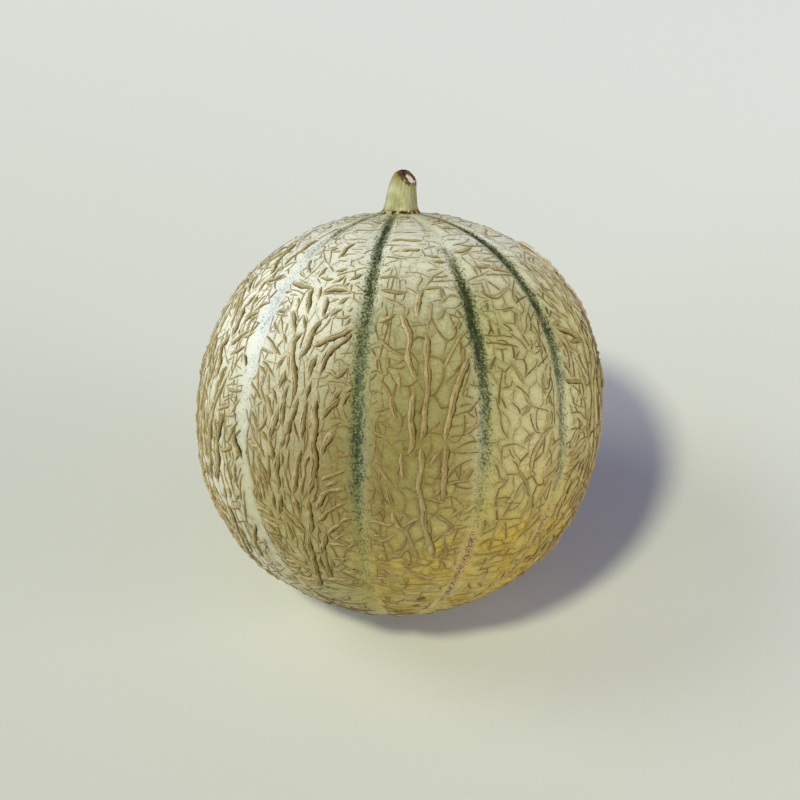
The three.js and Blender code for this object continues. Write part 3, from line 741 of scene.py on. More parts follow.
def fill(drawing, draw, tries, style, flow):
    """Adds ridges wherever the style asks for one and there is room, grown both ways from one place."""
    for _ in range(tries):
        lon = draw.uniform(-math.pi, math.pi)
        colat = math.acos(draw.uniform(math.cos(NET_LAST_COLAT), math.cos(NET_FIRST_COLAT)))
        suture, off = beside_suture(lon, colat)
        point = on_ball(lon, colat)
        if in_bare_strip(lon, colat, START_MARGIN) or not can_hold_net(colat, point):
            continue
        drawn = float(VIEW_FROM @ point) > DRAWN_SIDE * EQUATOR_RADIUS
        spot = Spot(panel_beside(suture, off), off, math.degrees(colat), drawn, flow(point))
        chosen = style(draw, spot)
        if chosen is None:
            continue
        heading = math.radians(chosen.heading)
        reach = chosen.length / 2, chosen.gap, chosen.wander
        ahead = grow(drawing, draw, (lon, colat), heading, *reach)
        behind = grow(drawing, draw, (lon, colat), heading + math.pi, *reach)
        places = behind[:0:-1] + ahead
        if len(places) * STROKE_STEP >= chosen.shortest:
            drawing.add(places, chosen.size, draw.uniform(*RIDGE_BULK))


def long_ridges(draw, spot):
    """Broad ridges that run down the ribs, on the sides that the drawing leaves."""
    start, end = LONG_BELT
    if spot.drawn or spot.panel in FINE_PANELS:
        return None
    if not start < spot.colat < end or abs(spot.off) < LONG_CLEARANCE:
        return None
    heading = draw.choice((0, 180)) + draw.gauss(0, 13)
    length = draw.uniform(16, 46)
    size = draw.choice(("thick", "thick", "middle"))
    return Growth(heading, length, shortest=9, size=size, gap=2.6, wander=0.1)


def with_the_flow(draw, spot):
    """Ridges of the front that run beside the drawn ones."""
    start, end = FLOW_BELT
    if not spot.drawn or not start < spot.colat < end:
        return None
    if spot.panel in OPEN_PANELS and abs(spot.off) > FLOW_REACH:
        return None
    heading = spot.flow + draw.choice((0, 180)) + draw.gauss(0, 16)
    length = draw.uniform(9, 26)
    size = draw.choice(("thin", "hair") if spot.panel in OPEN_PANELS else ("middle", "middle", "thin"))
    return Growth(heading, length, shortest=5, size=size, gap=1.9, wander=0.14)


def comb(draw, spot):
    """Short ridges that slant away from a suture."""
    start, end = COMB_BELT
    if not start < spot.colat < end or abs(spot.off) > COMB_REACH:
        return None
    if spot.drawn and spot.panel in FINE_PANELS:
        return None
    slope = COMB_SLOPE if draw.random() < COMB_SHARE else COUNTER_SLOPE
    heading = math.copysign(180 - slope, spot.off) + draw.gauss(0, 16)
    length = draw.uniform(5, 13)
    size = draw.choice(("thin", "hair") if spot.panel in OPEN_PANELS else ("middle", "thin", "thin"))
    return Growth(heading, length, shortest=2.6, size=size, gap=1.5, wander=0.2)


def rungs(draw, spot):
    """Ridges that run round the fruit, near the blossom end and, in the open panels, near the stem."""
    if spot.panel in OPEN_PANELS and CROWN_RUNGS_END < spot.colat < OPEN_RUNGS_START:
        return None
    if spot.panel not in OPEN_PANELS and spot.colat < RUNGS_START:
        return None
    heading = 90 + draw.gauss(0, 10)
    length = draw.uniform(14, 46)
    size = draw.choice(("thin", "thin", "middle") if spot.colat < EQUATOR_COLAT else ("thin", "hair", "hair"))
    return Growth(heading, length, shortest=5, size=size, gap=1.7, wander=0.12)


# Each style, in the order that they take their room, with the number of places to try
STYLES = ((long_ridges, 9000), (rungs, 7000), (with_the_flow, 9000), (comb, 9000))


def stretched(stretch):
    """Two functions, from colatitude to the height in a panel's cell map and back."""
    colat = np.linspace(0, math.pi, MAP_STEPS)
    degrees = np.degrees(colat)
    along = CROWN_STRETCH + (stretch - CROWN_STRETCH) * ramp(degrees, *CROWN_FADE)
    along += (FOOT_STRETCH - stretch) * ramp(degrees, *FOOT_FADE)
    height = np.r_[0, np.cumsum(EQUATOR_RADIUS * np.diff(colat) / along[1:])]
    return (lambda place: float(np.interp(place, colat, height)),
            lambda place: float(np.interp(place, height, colat)))


def cell_seeds(draw, west, east, width, to_map):
    """Loosely spaced points in one panel's map, as many as there is room for."""
    half = (east - west) / 2 + CELL_OVERLAP
    seeds = []
    for _ in range(CELL_TRIES):
        colat = math.acos(draw.uniform(-CELL_HIGHEST, CELL_HIGHEST))
        aside = draw.uniform(-half, half) * EQUATOR_RADIUS * math.sin(colat)
        seed = (aside, to_map(colat))
        room = (width * draw.uniform(*CELL_ROOM)) ** 2
        if all((seed[0] - x) ** 2 + (seed[1] - y) ** 2 > room for x, y in seeds):
            seeds.append(seed)
    return seeds


def cell_walls(seeds):
    """The walls between the cells round the seeds, as a dictionary from each corner to its neighbours."""
    points, _, faces = delaunay_2d_cdt([Vector(seed) for seed in seeds], [], [], 0, CELL_MERGE)[:3]
    corners = [tuple(sum((points[index] for index in face), Vector((0, 0))) / 3) for face in faces]
    sides, walls = {}, {}
    for number, face in enumerate(faces):
        for start, end in zip(face, face[1:] + face[:1]):
            other = sides.setdefault(frozenset((start, end)), number)
            if other != number:
                walls.setdefault(corners[number], []).append(corners[other])
                walls.setdefault(corners[other], []).append(corners[number])
    return walls


def straightest(before, corner, choices):
    """The choice that lies most nearly straight ahead."""
    ahead = np.subtract(corner, before)

    def straightness(choice):
        return float(ahead @ np.subtract(choice, corner)) / math.dist(choice, corner)

    return max(choices, key=straightness)


def wall_paths(walls):
    """Chains of walls that use every wall once and go on as straight as they can."""
    paths = []
    for corner in list(walls):
        while walls[corner]:
            path = [corner, walls[corner][0]]
            while True:
                walls[path[-2]].remove(path[-1])
                walls[path[-1]].remove(path[-2])
                if not walls[path[-1]] or len(path) > CELL_CHAIN:
                    break
                path.append(straightest(path[-2], path[-1], walls[path[-1]]))
            paths.append(path)
    return paths


def add_cells(drawing, draw):
    """Thin ridges round cells, in what room the drawn and the long ridges leave."""
    bounds = SUTURE_TURNS + [SUTURE_TURNS[0] + 2 * math.pi]
    for panel, (width, stretch) in enumerate(CELLS):
        to_map, from_map = stretched(stretch)
        west, east = bounds[panel:panel + 2]
        seeds = cell_seeds(draw, west, east, width, to_map)
        sizes = WALL_SIZES[panel in FINE_PANELS]
        for path in wall_paths(cell_walls(seeds)):
            walked = []
            for aside, height in smooth_path(path, STROKE_STEP):
                colat = from_map(height)
                place = ((west + east) / 2 + aside / parallel_radius(colat), colat)
                walked = lay_wall(drawing, draw, walked, place, sizes)
            close_wall(drawing, draw, walked, sizes)


def lay_wall(drawing, draw, walked, place, sizes):
    """Adds a place to the wall being laid, or ends the wall there where another ridge or a suture is."""
    point = on_ball(*place)
    if not can_hold_net(place[1], point) or in_bare_strip(*place):
        close_wall(drawing, draw, walked, sizes)
        return []
    if drawing.near(point, CELL_TOUCH):
        close_wall(drawing, draw, walked + [place], sizes)
        return [place]
    return walked + [place]


def close_wall(drawing, draw, walked, sizes):
    if len(walked) > 1 and math.dist(on_ball(*walked[0]), on_ball(*walked[-1])) > CELL_SHORTEST:
        drawing.add(walked, draw.choice(sizes), draw.uniform(*WALL_BULK))


def smooth_path(points, step):
    """A curve through the points, with a point every step."""
    points = np.asarray(points, float)
    ends = np.vstack([2 * points[0] - points[1], points, 2 * points[-1] - points[-2]])
    curve = []
    for before, start, end, after in zip(ends, ends[1:], ends[2:], ends[3:]):
        count = max(1, round(np.linalg.norm(end - start) / step))
        for t in np.arange(count) / count:
            slope = (end - before) * t
            bend = (2 * before - 5 * start + 4 * end - after) * t ** 2
            twist = (3 * start - before - 3 * end + after) * t ** 3
            curve.append(start + (slope + bend + twist) / 2)
    curve.append(points[-1])
    return np.array(curve)


def draw_net(camera):
    """The drawn ridges first, then those that grow in the room they leave."""
    draw = random.Random(NET_SEED)
    drawing = NetDrawing()
    for panel, scale in DRAWN_RIDGES:
        for size, strokes in panel.items():
            for pixels in strokes:
                lon, colat = on_fruit(smooth_path(pixels, DRAWN_STEP), camera)
                drawing.add(list(zip(lon.tolist(), colat.tolist())), size, scale)
    flow = flow_finder(drawing)
    for style, tries in STYLES:
        fill(drawing, draw, tries, style, flow)
    add_cells(drawing, draw)
    return drawing


# Ridges as solid pieces

def model_ridge(stations):
    """One straight ridge, to be copied along every stroke: its stations, corners and faces."""
    ridge = extruded_circle(len(RIDGE_PROFILE), "NGON", stations - 1)
    places = vertex_places(ridge)
    station = np.rint(places[:, 2]).astype(int)
    around = np.arctan2(places[:, 1], places[:, 0])
    corner = np.rint((around / (2 * np.pi)) * len(RIDGE_PROFILE)).astype(int) % len(RIDGE_PROFILE)
    faces = [tuple(face.vertices) for face in ridge.data.polygons]
    bpy.data.objects.remove(ridge)
    return station, corner, faces


def ridge_frame(path, stations):
    """Places along a path over the rind, with the way across and the way out at each of them."""
    steps = np.r_[0, np.cumsum(np.linalg.norm(np.diff(path, axis=0), axis=1))]
    at = np.linspace(0, steps[-1], stations)
    middle = np.stack([np.interp(at, steps, path[:, axis]) for axis in range(3)], axis=-1)
    ahead = np.gradient(middle, axis=0)
    out = middle / np.linalg.norm(middle, axis=1)[:, None]
    aside = np.cross(ahead, out)
    aside /= np.linalg.norm(aside, axis=1)[:, None]
    return at, middle, aside, out


def waver(draw, at, share):
    """A slow random change along a ridge."""
    knots = np.arange(0, at[-1] + 2 * WAVER_LENGTH, WAVER_LENGTH)
    return np.interp(at, knots, [draw.uniform(-share, share) for _ in knots])


def lay_ridge(pattern, stations, path, width, height, end, draw):
    """A copy of the straight ridge, bent along a path on the rind, tapered and a little uneven."""
    station, corner, _ = pattern
    at, middle, aside, out = ridge_frame(path, stations)
    east = np.cross((0, 0, 1), out)
    if (aside * (east - (0, 0, SHADE_SIDE_DROP))).sum() < 0:
        at, middle, aside, out = ridge_frame(path[::-1], stations)
    from_end = np.minimum(at, at[-1] - at) / width
    narrowing = end + (1 - end) * np.sqrt(np.clip(from_end / END_REACH, 0, 1))
    lowering = end + (1 - end) * ramp(from_end, END_START, END_SLOPE)
    uneven = 1 + waver(draw, at, UNEVEN_SHARE)
    sway = waver(draw, at, SWAY_SHARE) * width
    profile = np.array(RIDGE_PROFILE)[corner]
    half = (width * narrowing * uneven)[station]
    rise = (height * lowering * (1 + waver(draw, at, UNEVEN_SHARE)))[station]
    lip = np.array([draw.uniform(LIP_LOWEST, LIP_HIGHEST) for _ in station])
    half *= np.array([draw.uniform(1 - EDGE_SHARE, 1 + EDGE_SHARE) for _ in station])
    places = middle[station] + aside[station] * (half * profile[:, 0] + sway[station])[:, None]
    places += out[station] * (rise * profile[:, 1] * np.where(profile[:, 1] > LIP_START, lip, 1))[:, None]
    return places, profile, at[station], middle[station]


def ridges_by_panel(drawing):
    panels = {}
    for places, size, scale in drawing.ridges:
        panel = panel_beside(*beside_suture(*places[len(places) // 2]))
        path = rind_point(*np.array(places).T)
        panels.setdefault(panel, []).append((path, size, scale))
    return panels


def build_panel_net(name, ridges, patterns, draw, material):
    """The ridges of one panel as one piece."""
    places, faces, marks, middles = [], [], [], []
    count = 0
    for path, size, scale in ridges:
        width, height = RIDGE_SIZES[size]
        length = np.linalg.norm(np.diff(path, axis=0), axis=1).sum()
        long_enough = (number for number in patterns if length < STATION_GAP * number)
        stations = next(long_enough, max(patterns))
        pattern = patterns[stations]
        bulks = width * scale, height * scale, END_SHARES[size]
        spots, profile, at, middle = lay_ridge(pattern, stations, path, *bulks, draw)
        places.append(spots)
        middles.append(middle)
        faces += [tuple(count + corner for corner in face) for face in pattern[2]]
        across, rise = profile[:, 0], np.clip(profile[:, 1], 0, 1)
        tone, bulk = draw.random(), width / RIDGE_SIZES["thick"][0]
        marks.append(np.stack(np.broadcast_arrays(across, rise, at, tone, bulk)))
        count += len(spots)
    mesh = bpy.data.meshes.new("net")
    mesh.from_pydata(stand(np.vstack(places)).tolist(), [], faces)
    net = bpy.data.objects.new("net", mesh)
    bpy.context.scene.collection.objects.link(net)
    across, rise, along, tone, bulk = np.hstack(marks)
    store(net, across=across, rise=rise, along=along, tone=tone, bulk=bulk)
    store(net, **colour_fields(*polar_place(np.vstack(middles))))
    smooth(net)
    finish_piece(net, name, "rind", material)


def build_net(drawing, material):
    draw = random.Random(NET_SEED + 1)
    patterns = {stations: model_ridge(stations) for stations in RIDGE_STATIONS}
    for panel, ridges in sorted(ridges_by_panel(drawing).items()):
        build_panel_net(f"net_{panel + 1}", ridges, patterns, draw, material)


# Rind

# Strength of each mark along a suture, as pairs of colatitude in degrees and share
GREEN_ALONG = {
    0: [(0, 0.8), (26, 0.7), (40, 0.3), (90, 0.2), (180, 0.0)],
    1: [
        (0, 0.4), (10, 0.7), (20, 1.1), (60, 1.0), (90, 1.15),
        (98, 1.0), (110, 0.6), (135, 0.4), (150, 0.2), (160, 0.0),
    ],
    2: [
        (0, 0.2), (30, 0.35), (42, 1.0), (50, 1.3), (64, 1.3),
        (72, 1.0), (90, 0.8), (100, 0.5), (112, 0.35), (118, 0.0),
    ],
    3: [(0, 0.5), (14, 0.8), (30, 1.2), (60, 1.1), (85, 0.85), (104, 0.55), (116, 0.0)],
}
GREEN_ELSEWHERE = [(0, 0.8), (50, 1.0), (90, 0.7), (115, 0.3), (135, 0.0)]
HAZE_ALONG = {
    0: [(0, 0.2), (32, 0.6), (44, 1.0), (62, 1.0), (76, 0.6), (95, 0.45), (130, 0.45), (150, 0.1)],
}
HAZE_ELSEWHERE = [(0, 0.1), (40, 0.25), (70, 0.35), (100, 0.3), (125, 0.0)]
BAND_ALONG = {2: [(108, 0), (118, 1), (146, 1), (155, 0)], 3: [(104, 0), (114, 1), (138, 1), (150, 0)]}
NO_BAND = [(0, 0), (180, 0)]
# The marks along the sutures, each with its strengths and its reach to either side in millimetres
SUTURE_MARKS = {
    "green": (GREEN_ALONG, GREEN_ELSEWHERE, 3.1),
    "haze": (HAZE_ALONG, HAZE_ELSEWHERE, 6.4),
    "band": (BAND_ALONG, NO_BAND, 2.8),
}
# How the marks waver: millimetres to either side, rate per degree and shift from suture to suture
MARK_WAVES = [(0.2, 0.17, 2.1), (0.15, 0.43, 1)]
# Reach in millimetres of the painted shade on the skin beside the ridges
RIDGE_SHADE_REACH = 0.7

# Sides of the fruit in degrees of longitude, as where each begins and where it ends
LEFT_SIDE = (-150, -110), (-24, -6)
FAR_LEFT_SIDE = (-100, -66), (-62, -40)
RIGHT_SIDE = (10, 28), (60, 90)
# Colatitudes in degrees where the pale crown starts to fade and ends, with their shifts on either side. The
# crown is paler in its own colour; its reach further down on the left and less far on the right, with the
# pale patch low on the far left, is painted light and shade.
PALE_START, PALE_START_LEFT = 24, 26
PALE_END, PALE_END_LEFT, PALE_END_RIGHT = 74, 38, 14
FAR_LEFT_PALE, FAR_LEFT_FADE = 0.5, (126, 165)
# The yellow low on the fruit, less on the left, and the field of it low on the right
WARM_SHARE, WARM_LESS_LEFT, WARM_START = 0.5, 0.4, (98, 150)
FIELD_SHARE, FIELD_REACH = 0.75, 0.6
FIELD_LON, FIELD_COLAT = math.radians(48), math.radians(126)
DUSK_LON, DUSK_COLAT, DUSK_WIDTH, DUSK_HEIGHT = -8, 95, 36, 38
COLLAR_RADIUS, COLLAR_WIDTH = 7.0, 1.5
# Where the crown's fine lines end, round the stem and along the sutures, by distance from the axis
CROWN_RING, CROWN_STREAKS, CROWN_STREAK_REACH = (9, 17), (14, 36), 7
# Dark spots as pixels of the picture, with their radius in millimetres
SPOTS = [(421, 598, 1.7), (416, 605, 1.2)]
SPOT_STRENGTH = 1.5
SCAR_RADIUS = 5.0


def by_suture(nearest, colat, chosen, elsewhere):
    """Values read off each suture's own list by colatitude."""
    degrees = np.degrees(colat)
    values = np.zeros_like(colat)
    for number in range(len(SUTURES)):
        pairs = np.array(chosen.get(number, elsewhere), float)
        here = nearest == number
        values[here] = np.interp(degrees[here], pairs[:, 0], pairs[:, 1])
    return values


def ridge_gaps(drawing, places):
    """Distance from each place to the foot of the nearest ridge."""
    tree = KDTree(sum(len(ridge[0]) for ridge in drawing.ridges))
    widths = []
    for ridge, size, scale in drawing.ridges:
        for point in rind_point(*np.array(ridge).T):
            tree.insert(point, len(widths))
            widths.append(RIDGE_SIZES[size][0] * scale)
    tree.balance()
    found = [tree.find(place) for place in places]
    return np.array([gap - RIDGE_FOOT_SHARE * widths[index] for _, index, gap in found])


def build_rind(drawing, material, camera):
    deselect()
    bpy.ops.mesh.primitive_uv_sphere_add(segments=RIND_SEGMENTS, ring_count=RIND_RINGS, radius=1)
    rind = bpy.context.object
    lon, colat = polar_place(vertex_places(rind))
    gaps = np.maximum(ridge_gaps(drawing, rind_point(lon, colat)), 0)
    places = stand(rind_point(lon, colat, PILLOW_HEIGHT * bell(gaps, PILLOW_REACH)))
    places[:, 2] = np.maximum(places[:, 2], 0)
    move_vertices(rind, places)
    mark_rind(rind, lon, colat, gaps)
    mark_spots(rind, lon, colat, camera)
    smooth(rind)
    finish_piece(rind, "rind", "rind", material, "fruit")


def on_side(lon_degrees, begin, end):
    return ramp(lon_degrees, *begin) * (1 - ramp(lon_degrees, *end))


def colour_fields(lon, colat):
    """How pale, how yellow and how dark the rind and its net are at each place."""
    lon_degrees, degrees = np.degrees(lon), np.degrees(colat)
    left = on_side(lon_degrees, *LEFT_SIDE)
    far_left = on_side(lon_degrees, *FAR_LEFT_SIDE)
    right = on_side(lon_degrees, *RIGHT_SIDE)
    # Painted light and shade: the pale crown reaches further down the left side and less far down the right
    pale_end = PALE_END + PALE_END_LEFT * left - PALE_END_RIGHT * right
    pale = 1 - ramp(degrees, PALE_START + PALE_START_LEFT * left, pale_end)
    pale = np.maximum(pale, FAR_LEFT_PALE * far_left * (1 - ramp(degrees, *FAR_LEFT_FADE)))
    from_field = np.arccos(np.clip(direction(lon, colat) @ direction(FIELD_LON, FIELD_COLAT), -1, 1))
    low = (WARM_SHARE - WARM_LESS_LEFT * left) * ramp(degrees, *WARM_START)
    warm = low + FIELD_SHARE * bell(from_field, FIELD_REACH)
    aside, down = (lon_degrees - DUSK_LON) / DUSK_WIDTH, (degrees - DUSK_COLAT) / DUSK_HEIGHT
    return {"pale": pale, "warm": warm, "dusk": np.exp(-aside ** 2 - down ** 2)}


def mark_rind(rind, lon, colat, gaps):
    """Numbers that the finish reads: where the sutures, bands, pale top and yellow field are."""
    turn, nearest = suture_turns(lon)
    degrees = np.degrees(colat)
    from_axis = EQUATOR_RADIUS * np.sin(colat)
    upper, lower = degrees < EQUATOR_COLAT, degrees > EQUATOR_COLAT
    off = turn * EQUATOR_RADIUS * np.sin(colat)
    opening = SUTURE_NARROWEST + (1 - SUTURE_NARROWEST) * np.sin(colat)
    waves = sum(size * np.sin(degrees * rate + nearest * shift) for size, rate, shift in MARK_WAVES)
    away = np.abs(off + waves * np.sin(colat)) / opening
    store(rind, off=off, down=colat * EQUATOR_RADIUS, suture=nearest)
    for name, (chosen, elsewhere, reach) in SUTURE_MARKS.items():
        store(rind, **{name: by_suture(nearest, colat, chosen, elsewhere) * bell(away, reach)})
    # The skin next to the ridges is marked for painted shade
    store(rind, beside=bell(gaps, RIDGE_SHADE_REACH), **colour_fields(lon, colat))
    streaks = bell(away, CROWN_STREAK_REACH) * (1 - ramp(from_axis, *CROWN_STREAKS))
    crown = np.maximum(1 - ramp(from_axis, *CROWN_RING), streaks) * upper
    store(rind, east=np.sin(lon), south=np.cos(lon), crown=crown)
    store(rind, collar=bell(from_axis - COLLAR_RADIUS, COLLAR_WIDTH) * upper)
    store(rind, scar=np.exp(-(from_axis / SCAR_RADIUS) ** 4) * lower)


def mark_spots(rind, lon, colat, camera):
    spots = np.array(SPOTS, float)
    centres = rind_point(*on_fruit(spots[:, :2], camera))
    strengths = []
    for centre, radius in zip(centres, spots[:, 2]):
        away = np.linalg.norm(rind_point(lon, colat) - centre, axis=1)
        strengths.append(SPOT_STRENGTH - away / radius)
    store(rind, spots=np.maximum(np.max(strengths, axis=0), 0))


# Stem

STEM_SINK = 0.7
STEM_SIDES, STEM_LEVELS, STEM_INSETS = 120, 44, 3
STEM_TOP = 15
STEM_SWAY = 1.5
# Radius of the stem by height
STEM_RINGS = [
    (0, 7.9), (0.6, 7.0), (1.6, 6.2), (3, 5.75), (5, 5.4), (8, 5.05),
    (10.4, 4.7), (12.4, 4.25), (13.9, 3.5), (14.7, 2.4), (15, 1.0),
]
STEM_RIBS, STEM_RIB_DEPTH, STEM_RIB_TURN = 5, 0.22, 0.6
# Radius below which the ribs grow shallow
STEM_RIB_RADIUS = 4
# Lines of the bark: their depth, their number round the stem and how they bend or slant, and where they start
BROAD_LINE_DEPTH, BROAD_LINES, LINE_BEND, LINE_BEND_RATE = 0.1, 23, 1.3, 0.5
FINE_LINE_DEPTH, FINE_LINES, FINE_LINE_SLANT = 0.07, 41, 0.3
LINES_START = (0.5, 2)
FOOT_DEPTH, FOOT_WAVES, FOOT_SLOW_WAVES, FOOT_TOP = 0.3, 9, 4, 1.6
# The snapped corner of the stem, as the way that it faces and how far from the foot's middle it lies
BREAK_FACING = (0.62, -0.42, 0.66)
BREAK_REACH = 10.5
BREAK_EDGE = (-0.1, 0.7)
# Waves of the broken face: their depth, their number round the stem and their rate up it
BREAK_WAVES = [(0.35, 11, 1), (0.3, 5, 3.1)]
BREAK_ROUGHNESS = 0.5
SCORCH_EDGE, SCORCH_HEIGHT = (-3.2, 0.8), (8, 12)
PITH_PLACE = (4.5, -2.2, 11.8)
PITH_EDGE = (1.2, 2.8)
PITH_LENGTH = 1.9


def build_stem(material):
    stem = extruded_circle(STEM_SIDES, "TRIFAN", STEM_LEVELS, STEM_INSETS)
    shape_stem(stem)
    smooth(stem)
    finish_piece(stem, "stub", "stem", material, "stem")


def stem_radius(around, height):
    """Distance from the stem's axis to its bark, with ribs, fine lines and a ragged foot."""
    levels, radii = np.array(STEM_RINGS).T
    radius = np.interp(height, levels, radii)
    ribs = STEM_RIB_DEPTH * (1 + np.cos(around * STEM_RIBS + STEM_RIB_TURN))
    ribs = ribs * np.minimum(1, radius / STEM_RIB_RADIUS)
    broad = BROAD_LINE_DEPTH * np.sin(around * BROAD_LINES + LINE_BEND * np.sin(height * LINE_BEND_RATE))
    fine = FINE_LINE_DEPTH * np.sin(around * FINE_LINES + height * FINE_LINE_SLANT)
    foot = FOOT_DEPTH * np.sin(around * FOOT_WAVES + 1) * np.sin(around * FOOT_SLOW_WAVES)
    foot = foot * (1 - ramp(height, 0, FOOT_TOP))
    return radius - ribs + (broad + fine) * ramp(height, *LINES_START) + foot


def shape_stem(stem):
    """Ribs, fine lines, a sway to the right and a ragged corner where the stem was snapped off."""
    places = vertex_places(stem)
    inward = np.hypot(places[:, 0], places[:, 1])
    around = np.arctan2(places[:, 0], -places[:, 1])
    height = places[:, 2] / STEM_LEVELS * STEM_TOP
    grown = stem_radius(around, height)
    x = np.sin(around) * grown * inward + STEM_SWAY * (height / STEM_TOP) ** 2
    y = -np.cos(around) * grown * inward
    whole = np.stack([x, y, height], axis=-1)
    facing = np.array(BREAK_FACING) / np.linalg.norm(BREAK_FACING)
    rough = sum(depth * np.sin(around * turns + height * rate) for depth, turns, rate in BREAK_WAVES)
    beyond = whole @ facing - BREAK_REACH
    broken = ramp(beyond, *BREAK_EDGE)
    spot = whole - (broken * np.maximum(beyond + rough * BREAK_ROUGHNESS, 0))[:, None] * facing
    spot[:, 2] += rind_radius(np.zeros_like(x), np.hypot(x, y) / HALF_HEIGHT) - STEM_SINK
    move_vertices(stem, stand(spot))
    scorch = ramp(beyond, *SCORCH_EDGE) * ramp(height, *SCORCH_HEIGHT)
    store(stem, height=height / STEM_TOP, scorch=scorch, facing=np.sin(around))
    from_pith = np.linalg.norm((whole - PITH_PLACE) / (1, 1, PITH_LENGTH), axis=1)
    store(stem, pith=broken * (1 - ramp(from_pith, *PITH_EDGE)))


# Finishes

# Colours as they show on screen, 0 to 255
RIND_COLOURS = {
    "olive": (166, 163, 108), "straw": (192, 189, 138), "pale": (242, 242, 228), "dusk": (126, 119, 60),
    "yellow": (192, 158, 6), "veins": (84, 64, 16), "painted ridge shade": (126, 109, 44), "haze": (210, 217, 222),
    "dark specks": (128, 116, 66), "light specks": (232, 226, 190),
    "crown": (208, 198, 132), "dark lines": (104, 96, 34), "light lines": (244, 236, 206),
    "collar": (104, 76, 34), "veil": (108, 112, 60), "dots": (42, 48, 10), "core": (26, 40, 3),
    "band": (176, 144, 104), "flecks": (70, 48, 24), "scar": (132, 104, 64), "spots": (62, 42, 14),
}
CORK_COLOURS = {
    "thin top": (104, 84, 42), "deep top": (152, 134, 80), "light top": (182, 164, 112),
    "pale": (232, 224, 198), "warm": (142, 112, 44), "dusk": (144, 120, 78),
    "whitened": (230, 220, 192), "pits": (112, 88, 46), "shaded side": (128, 112, 40),
    "crease_shade": (38, 27, 8), "warm crease shade": (88, 66, 24), "cracks": (58, 42, 16),
}
STEM_COLOURS = {
    "bark": (166, 162, 112), "light bark": (198, 196, 156), "shaded side": (124, 120, 72),
    "upper": (134, 122, 58), "green streaks": (118, 122, 66), "light streaks": (214, 212, 190),
    "foot": (158, 116, 48), "foot cracks": (52, 32, 14), "foot flakes": (232, 220, 182),
    "singed": (132, 104, 40), "dark wood": (40, 27, 12), "light wood": (104, 78, 46),
    "pith": (212, 197, 184),
}
FLOOR_COLOURS = {"near": (199, 201, 195), "far": (244, 245, 246), "grain": (150, 150, 140)}


def linear(red, green, blue):
    """A colour given as it shows on screen, for a shader socket."""
    def channel(value):
        value /= 255
        return value / 12.92 if value <= 0.04045 else ((value + 0.055) / 1.055) ** 2.4
    return (channel(red), channel(green), channel(blue), 1)


class Value:
    """A number in a shader, which takes part in sums as a Python number does."""

    def __init__(self, finish, socket):
        self.finish = finish
        self.socket = socket

    def math(self, operation, first, second):
        node = self.finish.node("ShaderNodeMath", {"operation": operation}, {0: first, 1: second})
        return Value(self.finish, node.outputs[0])

    def __add__(self, other):
        return self.math("ADD", self, other)

    __radd__ = __add__

    def __sub__(self, other):
        return self.math("SUBTRACT", self, other)

    def __rsub__(self, other):
        return self.math("SUBTRACT", other, self)

    def __mul__(self, other):
        return self.math("MULTIPLY", self, other)

    __rmul__ = __mul__

    def swing(self, size):
        """How far a noise is from its middle, times the size."""
        return (self - 0.5) * size

    def between(self, start, end):
        """0 below start, 1 above end, with a soft change between them."""
        node = self.finish.node(
            "ShaderNodeMapRange",
            {"interpolation_type": "SMOOTHSTEP"},
            {"Value": self, "From Min": start, "From Max": end},
        )
        return Value(self.finish, node.outputs[0])


class Finish:
    """One material, the nodes that make it, and its colour as painted so far."""

    def __init__(self, name, palette):
        self.palette = palette
        self.colour = None
        self.material = bpy.data.materials.new(name)
        self.material.use_nodes = True
        self.tree = self.material.node_tree
        self.tree.nodes.clear()
        self.shader = self.node("ShaderNodeBsdfPrincipled")
        output = self.node("ShaderNodeOutputMaterial")
        self.tree.links.new(self.shader.outputs[0], output.inputs["Surface"])
        self.place = self.node("ShaderNodeTexCoord").outputs["Object"]

    def node(self, kind, settings=None, sockets=None):
        made = self.tree.nodes.new(kind)
        for name, value in (settings or {}).items():
            setattr(made, name, value)
        for name, value in (sockets or {}).items():
            self.plug(made.inputs[name], value)
        return made

    def plug(self, socket, value):
        if isinstance(value, Value):
            value = value.socket
        if isinstance(value, bpy.types.NodeSocket):
            self.tree.links.new(value, socket)
        else:
            socket.default_value = value

    def noise(self, scale, detail=3, roughness=0.5, vector=None):
        sockets = {"Scale": scale, "Detail": detail, "Roughness": roughness, "Vector": vector or self.place}
        return Value(self, self.node("ShaderNodeTexNoise", {}, sockets).outputs["Fac"])

    def edges(self, scale, squeeze):
        """How far each place is from the edges of small cells, squeezed along each axis."""
        squeezed = self.node("ShaderNodeVectorMath", {"operation": "MULTIPLY"}, {0: self.place, 1: squeeze})
        sockets = {"Vector": squeezed.outputs[0], "Scale": scale}
        node = self.node("ShaderNodeTexVoronoi", {"feature": "DISTANCE_TO_EDGE"}, sockets)
        return Value(self, node.outputs["Distance"])

    def stored(self, name):
        return Value(self, self.node("ShaderNodeAttribute", {"attribute_name": name}).outputs["Fac"])

    def vector(self, x, y, z):
        return self.node("ShaderNodeCombineXYZ", {}, {"X": x, "Y": y, "Z": z}).outputs[0]

    def paint(self, colour):
        """A colour by its name in the palette, or one that other nodes make as it is."""
        return linear(*self.palette[colour]) if isinstance(colour, str) else colour

    def blend(self, first, second, share):
        node = self.node("ShaderNodeMix", {"data_type": "RGBA", "clamp_factor": True})
        self.plug(node.inputs["Factor"], share)
        self.plug(node.inputs[6], self.paint(first))
        self.plug(node.inputs[7], self.paint(second))
        return node.outputs[2]

    def coat(self, colour, share):
        """Lays one more colour over what is painted, as strongly as the share says."""
        self.colour = self.blend(self.colour, colour, share)

    def bump(self, height, distance, strength):
        node = self.node("ShaderNodeBump", {}, {"Height": height, "Distance": distance, "Strength": strength})
        self.plug(self.shader.inputs["Normal"], node.outputs[0])

    def finished(self, roughness, specular):
        self.plug(self.shader.inputs["Base Color"], self.colour)
        self.plug(self.shader.inputs["Roughness"], roughness)
        self.plug(self.shader.inputs["Specular IOR Level"], specular)
        return self.material


